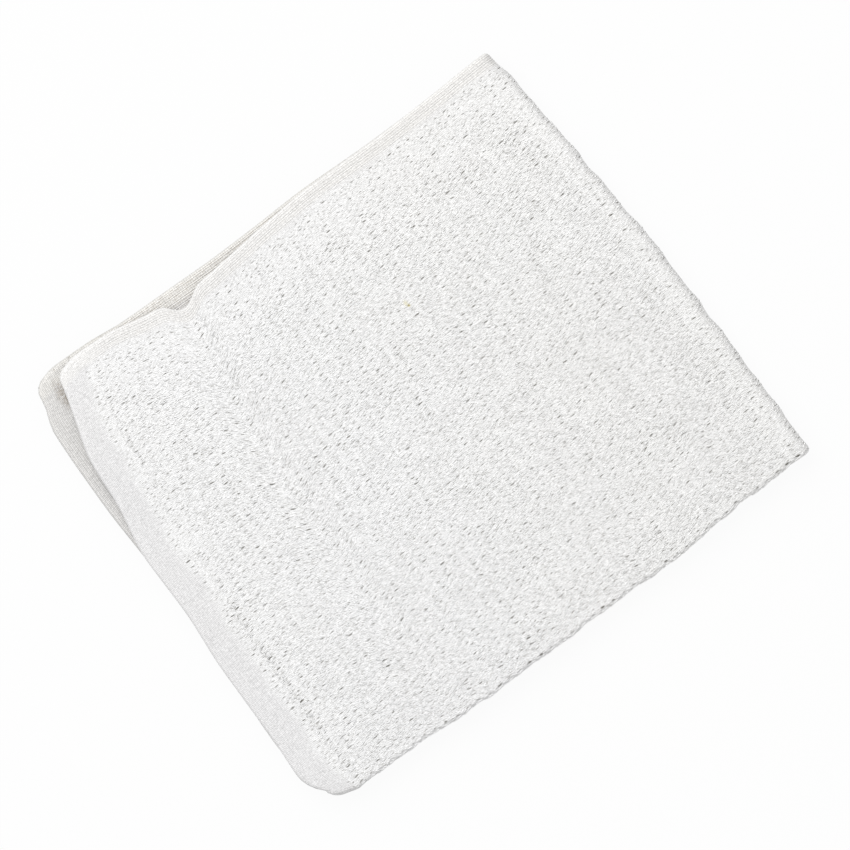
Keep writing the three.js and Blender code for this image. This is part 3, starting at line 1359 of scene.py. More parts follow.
    def build(self, offset: Array) -> bpy.types.Object:
        """Makes the closed cloth.

        Args:
            offset: what centres the stack, in millimetres.

        Returns:
            The cloth's object.
        """
        stack = self.stack
        hem_steps = self.edge_steps(
            stack.straight_length, self.hem_grid_band, self.hem_grid_step, self.coarse_step
        )
        rib_steps = self.edge_steps(
            stack.straight_width, self.fine_band, self.rib_pitch / self.steps_a_rib, self.wide_step
        )
        outer_radius = stack.second_radius + stack.first_radius
        alongs = Lines.over(hem_steps, stack.straight_length, outer_radius, self.second_turn_steps)
        acrosses = Lines.over(rib_steps, stack.straight_width, stack.first_radius, self.first_turn_steps)
        rows, columns = len(alongs.share), len(acrosses.share)
        row, column = np.meshgrid(np.arange(rows), np.arange(columns), indexing="ij")

        along, second_turn = alongs.share[row], alongs.turn[row]
        across, first_turn = 1.0 - acrosses.share[column], acrosses.turn[column]
        from_hem = alongs.share[row] * stack.straight_length
        from_selvedge = acrosses.share[column] * stack.straight_width
        inner = (first_turn <= 0).astype(float)
        half = self.half_thickness(from_hem, from_selvedge, across, inner)
        outward = stack.place(Spot(along, across, second_turn, first_turn, half))
        inward = stack.place(Spot(along, across, second_turn, first_turn, -half))

        edge = self.edge_ring(rows, columns)
        i, j = edge[:, 0], edge[:, 1]
        at_hem, at_selvedge = np.isin(i, (0, rows - 1)), np.isin(j, (0, columns - 1))
        rim = stack.place(
            Spot(
                along[i, j],
                across[i, j],
                second_turn[i, j],
                first_turn[i, j],
                np.zeros(len(edge)),
                over_hem=np.where(at_hem, self.end_round, 0.0),
                over_selvedge=np.where(at_selvedge, self.end_round, 0.0),
            )
        )
        points = (np.concatenate([outward, inward, rim]) + offset) * MM
        points[:, 2] = np.maximum(points[:, 2], 0.0)
        ring = i * columns + j
        made = mesh_object("towel_cloth", points, self.quads(rows, columns, ring))

        def everywhere(grid: Array) -> Array:
            """Repeats the grid's rows for both faces and the rim."""
            return np.concatenate([grid, grid, grid[ring]])

        travelled = np.stack([alongs.travelled[row], acrosses.travelled[column]], axis=-1).reshape(-1, 2)
        set_uv(made, everywhere(travelled * MM))
        shares = self.shares(from_hem, from_selvedge, across, inner)
        for name in ("pile", "inner"):
            set_share(made, name, everywhere(shares[name])[:, 0])
        for name in ("tint_light_and_shade", "edges"):
            set_vector(made, name, everywhere(shares[name]))
        set_vector(made, "cloth_place", np.pad(everywhere(travelled), ((0, 0), (0, 1))))
        return made

    def quads(self, rows: int, columns: int, ring: Array) -> Array:
        """Joins the points of both faces and the rim.

        Args:
            rows: how many rows of points a face has.
            columns: how many points there are in a row.
            ring: the outward face's points round the cut edges, in order.

        Returns:
            The faces, four point numbers in a row.
        """
        size = rows * columns
        number = np.arange(size).reshape(rows, columns)
        a, b = number[:-1, :-1], number[:-1, 1:]
        c, d = number[1:, 1:], number[1:, :-1]
        out_faces = np.stack([a, b, c, d], axis=-1).reshape(-1, 4)
        in_faces = out_faces[:, ::-1] + size
        ahead = np.roll(ring, -1)
        rim = 2 * size + np.arange(len(ring))
        rim_ahead = np.roll(rim, -1)
        upper_rim = np.stack([rim, ring, ahead, rim_ahead], axis=-1)
        lower_rim = np.stack([ring + size, rim, rim_ahead, ahead + size], axis=-1)
        return np.concatenate([out_faces, in_faces, upper_rim, lower_rim])

    def shares(self, from_hem: Array, from_selvedge: Array, across: Array, inner: Array) -> dict[str, Array]:
        """Works out what the cloth's material reads.

        Args:
            from_hem: distance from the nearer hem's edge.
            from_selvedge: distance from the nearer selvedge.
            across: share of the way from the first fold to the selvedge.
            inner: 1 on the inner sheet.

        Returns:
            Named rows: the pile's growth, the inner sheet's share, the tint with the inner sheet's painted
                light, and the edges' distances with the seam's strength.
        """
        grown = self.pile_growth(from_hem, from_selvedge, inner).reshape(-1, 1)
        inner = inner.reshape(-1, 1)
        at_selvedge = 1.0 - ease(from_selvedge, self.selvedge_tint_full, self.selvedge_tint_end)
        near_hem = 1.0 - ease(from_hem, self.inner_hem_tint_full, self.inner_hem_tint_end)
        bare = mix(np.array(self.hem_tint), np.array(self.selvedge_tint), at_selvedge.reshape(-1, 1))
        # The inner sheet's tint, with its painted light.
        inner_lit = mix(np.array(self.inner_tint_and_light), np.array(self.inner_hem_tint_and_light), near_hem.reshape(-1, 1))
        bare = bare * mix(np.ones(3), inner_lit, inner)
        edges = np.stack([from_hem, from_selvedge, self.seam_strength(across)], axis=-1)
        return {
            "pile": grown,
            "inner": inner,
            "tint_light_and_shade": mix(bare, np.full(3, self.under_pile), grown),
            "edges": edges.reshape(-1, 3),
        }

    def edge_ring(self, rows: int, columns: int) -> Array:
        """Goes round the cloth's cut edges.

        Args:
            rows: how many rows of points the cloth has.
            columns: how many points there are in a row.

        Returns:
            Row and column of each point there, in order.
        """
        first = [(i, 0) for i in range(rows - 1)]
        last = [(rows - 1, j) for j in range(columns - 1)]
        back = [(i, columns - 1) for i in range(rows - 1, 0, -1)]
        home = [(0, j) for j in range(columns - 1, 0, -1)]
        return np.array(first + last + back + home)


@dataclass
class LoopSet:
    """Many yarn loops: where they stand, how they lean, and how large they are."""

    along_mm: Array
    across_mm: Array
    heading: Array
    lean: Array
    half_length: Array
    height: Array
    radius: Array
    swing: Array
    bow: Array

    def kept(self, keep: Array) -> "LoopSet":
        """Only the loops where keep is true."""
        return LoopSet(*(getattr(self, one.name)[keep] for one in fields(self)))

    def count(self) -> int:
        """How many loops there are."""
        return len(self.along_mm)


class Side(Enum):
    """The cloth's outward or inward face, as the first fold leaves it."""

    OUTWARD = 1
    INWARD = -1


class Radii(NamedTuple):
    """A face's radii round the second and the first fold."""

    second: float
    first: float


@dataclass
class Pile:
    """Terry loops: rows of yarn arches that lean over each other, thinner by hem and selvedge.

    A site holds as many strands as the pile has, side by side and a step apart. A spread is how
    much a loop may differ from its neighbours. Fluff rise turns the shading's facing up, and the
    probe is the height over a point at which that facing is read.
    """

    stack: FoldedStack
    cloth: TerryCloth
    offset: Array
    column_pitch: float = 1.325
    row_pitch: float = 5.05
    row_stagger: float = 0.333
    strands: int = 3
    strand_step: float = 1.3
    half_length: float = 1.35
    height: float = 0.42
    yarn_radius: float = 0.35
    yarn_flatness: float = 0.55
    root_depth: float = 0.3
    bow: float = 0.18
    pinch: float = 0.18
    taper: float = 0.25
    site_spread: tuple[float, float] = (0.12, 0.05)
    strand_spread: tuple[float, float] = (0.28, 0.06)
    heading_spread: float = 0.13
    lean_spread: float = 0.18
    length_spread: float = 0.1
    height_spread: float = 0.12
    radius_spread: float = 0.08
    swing_spread: float = 0.1
    drift_lean: float = 0.03
    drift_size: float = 9.0
    drift_bend: float = 2.1
    drift_bend_size: float = 13.0
    drift_across: float = 7.0
    drift_slant: float = 17.0
    fluff_rise: float = 2.2
    probe: float = 0.5
    # The yarn's painted shade and light: darker at roots, on lower sides, by the edges and along the hem's
    # fringe, and lighter where the cloth stands up at a fold. The yarn shade is random tone.
    yarn_shade: float = 0.04
    side_shade: float = 0.04
    root_shade: float = 0.04
    rim_painted_light: float = 0.35
    edge_shade: float = 0.15
    edge_reach: float = 34.0
    fringe_shade: float = 0.08
    fringe_full: float = 11.0
    fringe_end: float = 17.0
    rings: int = 4
    sides: int = 3
    seed: int = 11

    def scatter(self, along_to: float, across_to: float) -> LoopSet:
        """Lays loops out in staggered columns over a rectangle of the cloth.

        Args:
            along_to: where the rows end, in millimetres from the upper hem.
            across_to: where the columns end, from the outer sheet's selvedge.

        Returns:
            The loops, each a little off its place.
        """
        random = np.random.default_rng(self.seed)
        columns = np.arange(self.cloth.pile_from_selvedge, across_to, self.column_pitch)
        rows = np.arange(0.0, along_to, self.row_pitch)
        column, row = np.meshgrid(np.arange(len(columns)), np.arange(len(rows)), indexing="ij")
        along = (rows[row] + (column % 2) * self.row_pitch * self.row_stagger).ravel()
        across = columns[column].ravel()
        along = along + random.normal(0, self.site_spread[0], len(along))
        across = across + random.normal(0, self.site_spread[1], len(across))
        last = (self.strands - 1) / 2
        strand = np.tile(np.arange(self.strands), len(along)) - last
        step = np.where(strand < 0, strand, last - strand)
        along, across = np.repeat(along, self.strands), np.repeat(across, self.strands)
        across = across + strand * self.column_pitch / self.strands
        count = len(along)
        along = along + step * self.strand_step + random.normal(0, self.strand_spread[0], count)
        across = across + random.normal(0, self.strand_spread[1], count)

        def uneven(size: float, spread: float) -> Array:
            """Draws a size for each loop."""
            return size * random.uniform(1.0 - spread, 1.0 + spread, count)

        return LoopSet(
            along_mm=along,
            across_mm=across,
            heading=random.normal(0, self.heading_spread, count),
            lean=random.normal(0, self.lean_spread, count) + self.drift_lean * self.drift(along, across),
            half_length=uneven(self.half_length, self.length_spread),
            height=uneven(self.height, self.height_spread),
            radius=uneven(self.yarn_radius, self.radius_spread),
            swing=random.normal(0, self.swing_spread, count),
            bow=random.normal(0, self.bow, count),
        )

    def drift(self, along: Array, across: Array) -> Array:
        """The slow waves by which neighbouring loops lean together."""
        bent = np.sin(along / self.drift_size + self.drift_bend * np.sin(across / self.drift_bend_size))
        return bent + np.sin(across / self.drift_across - along / self.drift_slant)

    def bent_yarn(self, loops: LoopSet) -> Array:
        """Bends a thin tube of yarn into each loop, about the loop's own middle.

        Args:
            loops: the loops.

        Returns:
            Points by loop, ring and side, each lengthwise, sideways and up in millimetres.
        """
        t = np.linspace(0, 1, self.rings)[None, :]
        swept = math.pi * t
        reach = -loops.half_length[:, None] * np.cos(swept) * (1 - self.pinch * np.sin(swept))
        rise = loops.height[:, None] * np.sin(swept)
        sway = loops.swing[:, None] * np.sin(2 * swept) + loops.bow[:, None] * np.sin(swept)
        lean_sin, lean_cos = np.sin(loops.lean)[:, None], np.cos(loops.lean)[:, None]
        sideways, up = rise * lean_sin + sway * lean_cos, rise * lean_cos - sway * lean_sin
        spine = np.stack([reach, sideways, up], axis=-1)
        ahead = np.gradient(spine, axis=1)
        ahead = ahead / np.linalg.norm(ahead, axis=-1, keepdims=True)
        flat = np.stack([0 * lean_cos, lean_cos, -lean_sin], axis=-1) + 0 * spine
        flat = flat - ahead * np.sum(flat * ahead, axis=-1, keepdims=True)
        flat = flat / np.linalg.norm(flat, axis=-1, keepdims=True)
        third = np.cross(ahead, flat)
        around = self.around()[None, None, :, None]
        thin = loops.radius[:, None] * (1.0 - self.taper * np.abs(2 * t - 1) ** 3)
        section = flat[:, :, None, :] * np.cos(around)
        section = section + third[:, :, None, :] * np.sin(around) * self.yarn_flatness
        return spine[:, :, None, :] + section * thin[:, :, None, None]

    def around(self) -> Array:
        """The angles of a ring's points."""
        return QUARTER + 2 * math.pi * np.arange(self.sides) / self.sides

    def tube_faces(self, count: int) -> tuple[Array, Array]:
        """Joins the rings of each loop.

        Args:
            count: how many loops there are.

        Returns:
            The tubes' faces of four points, and their closed ends.
        """
        rings, sides = self.rings, self.sides
        ring_start = np.arange(rings - 1)[:, None] * sides
        now = np.arange(sides)[None, :]
        following = (now + 1) % sides
        corners = [
            ring_start + now,
            ring_start + following,
            ring_start + sides + following,
            ring_start + sides + now,
        ]
        tube = np.stack(corners, axis=-1).reshape(-1, 4)
        caps = np.stack([np.arange(sides)[::-1], np.arange(sides) + (rings - 1) * sides])
        starts = (np.arange(count) * rings * sides)[:, None, None]
        return (tube[None] + starts).reshape(-1, 4), (caps[None] + starts).reshape(-1, sides)

    def shades(self, count: int, along: Array, across: Array, facing: Array) -> Array:
        """Paints light and shade on the yarn.

        Args:
            count: how many loops there are.
            along: millimetres from the upper hem, for each point.
            across: millimetres from the outer sheet's selvedge.
            facing: 1 where the cloth lies level, and 0 where it stands up at a fold.

        Returns:
            The painted shade at each point: darker at roots, on the lower side, by the edges and along the
                hem's fringe, and painted lighter where the cloth stands up at a fold. Each loop's tone also
                differs a little at random.
        """
        random = np.random.default_rng(self.seed + 1)
        t = np.linspace(0, 1, self.rings)[None, :]
        shade = random.uniform(1.0 - self.yarn_shade, 1.0, count)[:, None, None]
        shade = shade * (1.0 - self.root_shade * np.abs(2 * t - 1) ** 2)[:, :, None]
        shade = shade * (1.0 - self.side_shade * (1.0 - np.sin(self.around())[None, None, :]) / 2)
        by_edge = 1.0 - ease(np.minimum(along, across), self.cloth.pile_from_selvedge, self.edge_reach)
        by_hem = 1.0 - ease(along, self.fringe_full, self.fringe_end)
        shade = shade.reshape(-1) * (1.0 + self.rim_painted_light * (1.0 - facing))
        return shade * (1.0 - self.edge_shade * by_edge) * (1.0 - self.fringe_shade * by_hem)

    def build(self, name: str, loops: LoopSet, side: Side, radii: Radii) -> bpy.types.Object:
        """Makes one joined mesh of loops on the folded cloth.

        Args:
            name: the mesh's name.
            loops: the loops, with places along and across the unfolded cloth.
            side: the face that they stand on.
            radii: that face's radii round the folds.

        Returns:
            The joined mesh.
        """
        local = self.bent_yarn(loops)
        turn_cos, turn_sin = np.cos(loops.heading)[:, None, None], np.sin(loops.heading)[:, None, None]
        lengthwise, sideways = local[..., 0], side.value * local[..., 1]
        along = loops.along_mm[:, None, None] + lengthwise * turn_cos - sideways * turn_sin
        across = loops.across_mm[:, None, None] + lengthwise * turn_sin + sideways * turn_cos
        along, across = along.ravel(), across.ravel()
        up = (local[..., 2] - self.root_depth).ravel()

        points = self.on_cloth(along, across, up, side, radii)
        outward = self.on_cloth(along, across, up + self.probe, side, radii) - points
        outward = outward / np.maximum(np.linalg.norm(outward, axis=1, keepdims=True), TINY)
        points[:, 2] = np.maximum(points[:, 2], 0.0)
        facing = np.abs(outward[:, 2])

        count = loops.count()
        made = mesh_object(name, points * MM, *self.tube_faces(count))
        # Painted light and shade of the yarn, read by its material as a tint.
        shade = self.shades(count, along, across, facing)
        set_vector(made, "tint_light_and_shade", np.repeat(shade.reshape(-1, 1), 3, axis=1))
        self.set_place(made, along, across, facing, radii)
        set_vector(made, "outward", outward + np.array([0.0, 0.0, self.fluff_rise]))
        yarn, turn = np.linspace(0, 1, self.rings)[:, None], (np.arange(self.sides) / self.sides)[None, :]
        one_uv = np.stack(np.broadcast_arrays(yarn, turn), axis=-1).reshape(-1, 2)
        set_uv(made, np.tile(one_uv, (count, 1)))
        return made

    def set_place(
        self, made: bpy.types.Object, along: Array, across: Array, facing: Array, radii: Radii
    ) -> None:
        """Tells the loops' material where on the unfolded cloth each point stands.

        Args:
            made: the joined loops.
            along: millimetres from the upper hem, for each point.
            across: millimetres from the outer sheet's selvedge.
            facing: 1 where the cloth lies level, and 0 where it stands up at a fold.
            radii: the face's radii round the folds.
        """
        stack, cloth = self.stack, self.cloth
        total_across = stack.cloth_width(radii.first)
        from_hem = np.minimum(along, stack.cloth_length(radii.second) - along)
        from_selvedge = np.minimum(across, total_across - across)
        share = 1.0 - np.clip(from_selvedge / stack.straight_width, 0.0, 1.0)
        set_vector(made, "cloth_place", np.stack([along, across, 0 * along], axis=-1))
        set_vector(made, "edges", np.stack([from_hem, from_selvedge, cloth.seam_strength(share)], axis=-1))
        inner = (across > total_across / 2).astype(float)
        set_share(made, "pile", cloth.pile_growth(from_hem, from_selvedge, inner) * facing)
        set_share(made, "inner", inner)

    def on_cloth(self, along: Array, across: Array, up: Array, side: Side, radii: Radii) -> Array:
        """Places points that stand a given height over the unfolded cloth's face.

        Args:
            along: millimetres from the upper hem.
            across: millimetres from the outer sheet's selvedge.
            up: height over the ground cloth.
            side: the face that they stand on.
            radii: that face's radii round the folds.

        Returns:
            Their places in millimetres, centred.
        """
        stack = self.stack
        second_share, second_turn = self.fold_share(along, stack.straight_length, radii.second)
        first_share, first_turn = self.fold_share(across, stack.straight_width, radii.first)
        depth = side.value * (self.cloth.ground / 2 + up)
        spot = Spot(second_share, 1.0 - first_share, second_turn, first_turn, depth)
        return stack.place(spot) + self.offset

    def fold_share(self, travelled: Array, straight: float, radius: float) -> tuple[Array, Array]:
        """Folds distances from a cut edge.

        Args:
            travelled: the distances over the unfolded cloth.
            straight: the stretch up to the fold.
            radius: the fold's radius.

        Returns:
            The share of the straight stretch, and the angle about the fold.
        """
        past = np.clip((travelled - straight) / radius, 0.0, math.pi)
        share = np.minimum(travelled, 2 * straight + math.pi * radius - travelled) / straight
        return np.minimum(share, 1.0), QUARTER - past


class PilePatch(NamedTuple):
    """A piece of the outside's pile, between two shares of the way from hem to hem."""

    name: str
    start: float
    end: float


TOP_PATCHES = (
    PilePatch("pile_top_hem", 0.0, 0.17),
    PilePatch("pile_top_middle", 0.17, 0.34),
    PilePatch("pile_top_fold", 0.34, 0.51),
)
UNDER_PATCHES = (PilePatch("pile_under", 0.51, 1.0),)


@dataclass
class LoopedFaces:
    """The pile on every face: dense outside, and as deep as shows between the layers.

    Clear, thinning and half share say how wide the seam is kept free, and how fully. Curls are
    loops by the hem and the selvedge, which turn more and stand lower. A depth is how far in from
    an edge the pile goes between the layers, and the lifted corner shows more of it.
    """

    pile: Pile
    seam_clear: float = 0.3
    seam_half_share: float = 0.4
    seam_thinning: float = 0.7
    least_growth: float = 0.02
    stand_share: float = 0.25
    start_height: float = 0.45
    start_length: float = 0.7
    curl_full: float = 8.5
    curl_reach: float = 34.0
    curl_heading: float = 2.6
    curl_length: float = 0.85
    curl_height: float = 0.74
    fold_height: float = 0.2
    second_fold_near: float = 8.0
    second_fold_far: float = 16.0
    first_fold_before: float = 4.0
    first_fold_after: float = 1.0
    under_half_length: float = 2.2
    under_radius: float = 0.62
    under_seed: int = 23
    inside_half_length: float = 2.0
    inside_radius: float = 0.5
    inside_seed: int = 37
    inside_depth_hem: float = 23.0
    inside_depth_selvedge: float = 13.0
    inside_height: float = 0.62
    lifted_along: float = 52.0
    lifted_across: float = 70.0

    def thinned(self, loops: LoopSet, total_along: float, seed: int, inner: bool = False) -> LoopSet:
        """Leaves out the loops on hems and selvedges, and most of those on the seam.

        Args:
            loops: the loops.
            total_along: the cloth's length from hem to hem, in millimetres.
            seed: of the random choice.
            inner: whether they stand on the inner sheet.

        Returns:
            The loops that stay, shorter where the pile starts.
        """
        random = np.random.default_rng(seed)
        stack, cloth = self.pile.stack, self.pile.cloth
        from_hem = np.minimum(loops.along_mm, total_along - loops.along_mm)
        share = 1.0 - np.minimum(loops.across_mm / stack.straight_width, 1.0)
        grown = cloth.pile_growth(from_hem, loops.across_mm, np.full(loops.count(), float(inner)))
        stands = random.uniform(0, 1, loops.count()) < self.stand_share + grown
        stands &= grown > self.least_growth
        clear = self.seam_clear + loops.half_length * self.seam_half_share
        on_seam = np.abs(from_hem - cloth.seam) < clear
        left_out = self.seam_thinning * cloth.seam_strength(share)
        stands &= ~(on_seam & (random.uniform(0, 1, loops.count()) < left_out))
        curl = 1.0 - ease(np.minimum(from_hem, loops.across_mm), self.curl_full, self.curl_reach)
        loops.heading = loops.heading * mix(1.0, self.curl_heading, curl)
        loops.height = loops.height * mix(self.start_height, 1.0, grown) * mix(1.0, self.curl_height, curl)
        length = mix(self.start_length, 1.0, grown) * mix(1.0, self.curl_length, curl)
        loops.half_length = loops.half_length * length
        return loops.kept(stands)

    def outside(self) -> list[bpy.types.Object]:
        """Makes the pile on the stack's outside: fine on top, and coarser underneath.

        Returns:
            Its pieces.
        """
        stack, cloth = self.pile.stack, self.pile.cloth
        surface = cloth.ground / 2
        radii = Radii(stack.second_radius + stack.first_radius + surface, stack.first_radius + surface)
        total_along = stack.cloth_length(radii.second)
        coarse = Pile(
            stack,
            cloth,
            self.pile.offset,
            strands=1,
            half_length=self.under_half_length,
            yarn_radius=self.under_radius,
            seed=self.under_seed,
        )
        made = []
        for kind, patches in ((self.pile, TOP_PATCHES), (coarse, UNDER_PATCHES)):
            scattered = kind.scatter(total_along, stack.straight_width + math.pi * radii.first)
            scattered = self.thinned(scattered, total_along, kind.seed + 2)
            share = scattered.along_mm / total_along
            for patch in patches:
                loops = scattered.kept((share >= patch.start) & (share < patch.end))
                self.lower_at_folds(loops, total_along)
                made.append(kind.build(patch.name, loops, Side.OUTWARD, radii))
        return made

    def lower_at_folds(self, loops: LoopSet, total_along: float) -> None:
        """Presses the loops a little flatter round both folds.

        Args:
            loops: the loops.
            total_along: the cloth's length from hem to hem, in millimetres.
        """
        width = self.pile.stack.straight_width
        from_second = np.abs(loops.along_mm - total_along / 2)
        round_second = 1.0 - ease(from_second, self.second_fold_near, self.second_fold_far)
        round_first = ease(loops.across_mm, width - self.first_fold_before, width + self.first_fold_after)
        loops.height = loops.height * (1.0 - self.fold_height * np.maximum(round_second, round_first))

    def inside(self) -> list[bpy.types.Object]:
        """Makes the pile that shows between the layers, along the hems and the selvedges.

        Returns:
            Its pieces.
        """
        stack, cloth = self.pile.stack, self.pile.cloth
        small = Pile(
            stack,
            cloth,
            self.pile.offset,
            strands=1,
            half_length=self.inside_half_length,
            yarn_radius=self.inside_radius,
            seed=self.inside_seed,
        )
        faces = (
            ("pile_inside_outer", Side.INWARD, False),
            ("pile_inside_inner", Side.INWARD, True),
            ("pile_between_inner", Side.OUTWARD, True),
        )
        made = []
        for name, side, inner in faces:
            surface = side.value * cloth.ground / 2
            sheet = -(stack.first_radius + surface) if inner else stack.first_radius + surface
            radii = Radii(stack.second_radius + sheet, stack.first_radius + surface)
            total_along = stack.cloth_length(radii.second)
            loops = small.scatter(total_along, stack.straight_width)
            loops = self.thinned(loops, total_along, small.seed + 2, inner)
            from_hem = np.minimum(loops.along_mm, total_along - loops.along_mm)
            shown = (from_hem < self.inside_depth_hem) | (loops.across_mm < self.inside_depth_selvedge)
            lifted = (loops.along_mm < self.lifted_along) & (loops.across_mm < self.lifted_across)
            loops = loops.kept(shown | (lifted & (side is Side.INWARD)))
            loops.height = np.minimum(loops.height, self.inside_height)
            if inner:
                loops.across_mm = stack.cloth_width(radii.first) - loops.across_mm
            made.append(small.build(name, loops, side, radii))
        return made


@dataclass
class HemStitching:
    """The short stitches that hold each turned hem down, in one row on each of its faces."""

    stack: FoldedStack
    cloth: TerryCloth
    offset: Array
    stitch: float = 2.3
    gap: float = 0.7
    first_stitch: float = 2.0
    radius: float = 0.2
    rise: float = 0.14
    sunk: float = 0.2
    line_spread: float = 0.12
    heading_spread: float = 0.08
    rings: int = 5
    sides: int = 4
    seed: int = 5

    def row(self, line: float, across: Array, random: np.random.Generator) -> LoopSet:
        """Lays out one row of stitches.

        Args:
            line: the seam, in millimetres from the upper hem.
            across: the stitches' middles, from the outer sheet's selvedge.
            random: draws how far each is off its place.

        Returns:
            The stitches.
        """
        count = len(across)
        return LoopSet(
            along_mm=line + random.normal(0, self.line_spread, count),
            across_mm=across,
            heading=QUARTER + random.normal(0, self.heading_spread, count),
            lean=np.zeros(count),
            half_length=np.full(count, self.stitch / 2),
            height=np.full(count, self.rise),
            radius=np.full(count, self.radius),
            swing=np.zeros(count),
            bow=np.zeros(count),
        )

    def build(self) -> bpy.types.Object:
        """Makes all stitches.

        Returns:
            One joined mesh.
        """
        stack, cloth = self.stack, self.cloth
        sewn = Pile(
            stack,
            cloth,
            self.offset,
            root_depth=self.sunk,
            yarn_flatness=1.0,
            rings=self.rings,
            sides=self.sides,
        )
        places = np.arange(self.first_stitch, stack.straight_width, self.stitch + self.gap)
        random = np.random.default_rng(self.seed)
        parts = []
        for side in Side:
            for inner in (False, True):
                sheet = -stack.first_radius if inner else stack.first_radius
                first_radius = stack.first_radius + side.value * cloth.ground / 2
                radii = Radii(stack.second_radius + sheet, first_radius)
                total_along = stack.cloth_length(radii.second)
                across = stack.cloth_width(radii.first) - places if inner else places
                for line in (cloth.seam, total_along - cloth.seam):
                    stitches = self.row(line, across, random)
                    parts.append(sewn.build(f"stitch_part_{len(parts)}", stitches, side, radii))
        bpy.ops.object.select_all(action="DESELECT")
        for part in parts:
            part.select_set(True)
        bpy.context.view_layer.objects.active = parts[0]
        bpy.ops.object.join()
        parts[0].name = "hem_stitches"
        return parts[0]


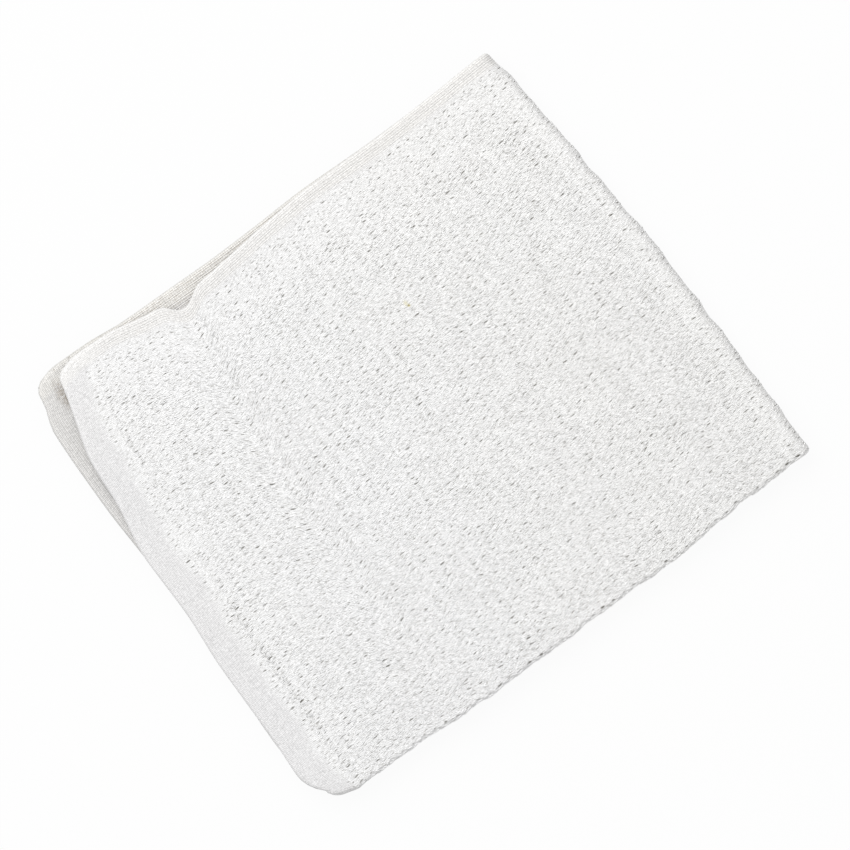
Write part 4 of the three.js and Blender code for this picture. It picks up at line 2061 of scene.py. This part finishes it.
@dataclass
class Studio:
    """Plain pale floor, soft light, and the camera straight above, in metres.

    The up angle is how far the photograph's up is turned from the towel's +Y. The lamp's place is
    given up, left and high in the photograph's terms.
    """

    frame_width: float = 0.3434
    distance: float = 2.4
    clip: tuple[float, float] = (0.1, 20.0)
    sensor: float = 36.0
    middle: tuple[float, float] = (0.0023, -0.0014)
    up_angle: float = math.radians(36.2)
    floor_size: float = 6.0
    floor_colour: Colour = (0.03, 0.03, 0.03)
    floor_roughness: float = 0.9
    floor_glow: float = 0.94
    key_power: float = 54.0
    key_size: float = 2.2
    key_up: float = 0.9
    key_left: float = 1.0
    key_height: float = 1.6
    sky_strength: float = 0.95

    def floor(self, level: float) -> bpy.types.Object:
        """Lays the floor.

        Args:
            level: its height.

        Returns:
            The floor.
        """
        bpy.ops.object.select_all(action="DESELECT")
        bpy.ops.mesh.primitive_plane_add(size=self.floor_size, location=(0, 0, level))
        floor = bpy.context.object
        floor.name = "floor"
        material = bpy.data.materials.new("floor_paper")
        material.use_nodes = True
        shader = material.node_tree.nodes["Principled BSDF"]
        shader.inputs["Base Color"].default_value = (*self.floor_colour, 1)
        shader.inputs["Roughness"].default_value = self.floor_roughness
        shader.inputs["Specular IOR Level"].default_value = 0.0
        shader.inputs["Emission Color"].default_value = WHITE
        shader.inputs["Emission Strength"].default_value = self.floor_glow
        floor.data.materials.append(material)
        return floor

    def light(self) -> None:
        """Sets one wide soft lamp to the photograph's upper left, in an even pale room."""
        world = bpy.data.worlds.new("room")
        bpy.context.scene.world = world
        world.use_nodes = True
        background = world.node_tree.nodes["Background"]
        background.inputs["Color"].default_value = WHITE
        background.inputs["Strength"].default_value = self.sky_strength
        data = bpy.data.lights.new("key", "AREA")
        data.shape = "DISK"
        data.size = self.key_size
        data.energy = self.key_power
        lamp = bpy.data.objects.new("key", data)
        bpy.context.scene.collection.objects.link(lamp)
        up = Vector((math.sin(self.up_angle), math.cos(self.up_angle), 0))
        right = Vector((up.y, -up.x, 0))
        lamp.location = (up * self.key_up - right * self.key_left) + Vector((0, 0, self.key_height))
        lamp.rotation_mode = "QUATERNION"
        lamp.rotation_quaternion = (-lamp.location).to_track_quat("-Z", "Y")
        view = bpy.context.scene.view_settings
        view.view_transform = "Standard"
        view.look = "None"

    def camera(self) -> bpy.types.Object:
        """Sets the camera straight above, rolled as in the photograph.

        Returns:
            The camera.
        """
        data = bpy.data.cameras.new("camera")
        data.sensor_width = self.sensor
        data.lens = self.sensor * self.distance / self.frame_width
        data.clip_start, data.clip_end = self.clip
        camera = bpy.data.objects.new("camera", data)
        bpy.context.scene.collection.objects.link(camera)
        camera.rotation_mode = "QUATERNION"
        turn = Matrix.Rotation(-self.up_angle, 4, "Z")
        camera.rotation_quaternion = turn.to_quaternion()
        camera.location = (*self.middle, self.distance)
        bpy.context.scene.camera = camera
        return camera


def centring(stack: FoldedStack, steps: int = 60, turn_steps: int = 12) -> Array:
    """Finds what moves the stack, as placed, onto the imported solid's outline.

    Args:
        stack: the stack.
        steps: how finely its sides are read.
        turn_steps: how finely its second fold is read.

    Returns:
        The move in millimetres.
    """
    low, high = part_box(NODE)
    middle = np.array([(low[i] + high[i]) / 2 for i in range(2)]) / MM
    share = np.linspace(0, 1, steps + 1)
    turn = np.linspace(QUARTER, -QUARTER, turn_steps + 1)
    along, across, second, first = np.meshgrid(share, share, turn, [QUARTER, 0.0, -QUARTER], indexing="ij")
    on_turn = (along == 1) | (np.abs(second) == QUARTER)
    first_turns = (across == 0) | (np.abs(first) == QUARTER)
    keep = on_turn & first_turns
    half = np.full(keep.sum(), stack.layer / 2)
    points = stack.place(Spot(along[keep], across[keep], second[keep], first[keep], half))
    own = (points[:, :2].min(axis=0) + points[:, :2].max(axis=0)) / 2
    return np.array([*(middle - own), 0.0])


def dress(made: bpy.types.Object, material: bpy.types.Material) -> None:
    """Gives a piece its material and its body.

    Args:
        made: the piece.
        material: its material.
    """
    made.data.materials.clear()
    made.data.materials.append(material)
    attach(made, BODY)
    log.info("%s: %d faces", made.name, len(made.data.polygons))


def main() -> None:
    """Builds the towel and its studio."""
    logging.basicConfig(level=logging.INFO, format="%(name)s: %(message)s")
    stack = FoldedStack()
    materials = CottonMaterials()
    offset = centring(stack)
    studio = Studio()
    studio.camera()

    cloth = TerryCloth(stack)
    towel = cloth.build(offset)
    dress(towel, materials.get(Surface.GROUND))
    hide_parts(NODE)

    faces = LoopedFaces(Pile(stack, cloth, offset))
    pile = faces.outside() + faces.inside()
    for patch in pile:
        dress(patch, materials.get(Surface.PILE))
    stitches = HemStitching(stack, cloth, offset).build()
    dress(stitches, materials.get(Surface.THREAD))

    studio.floor(level=-0.0002)
    studio.light()


if __name__ == "__main__":
    main()
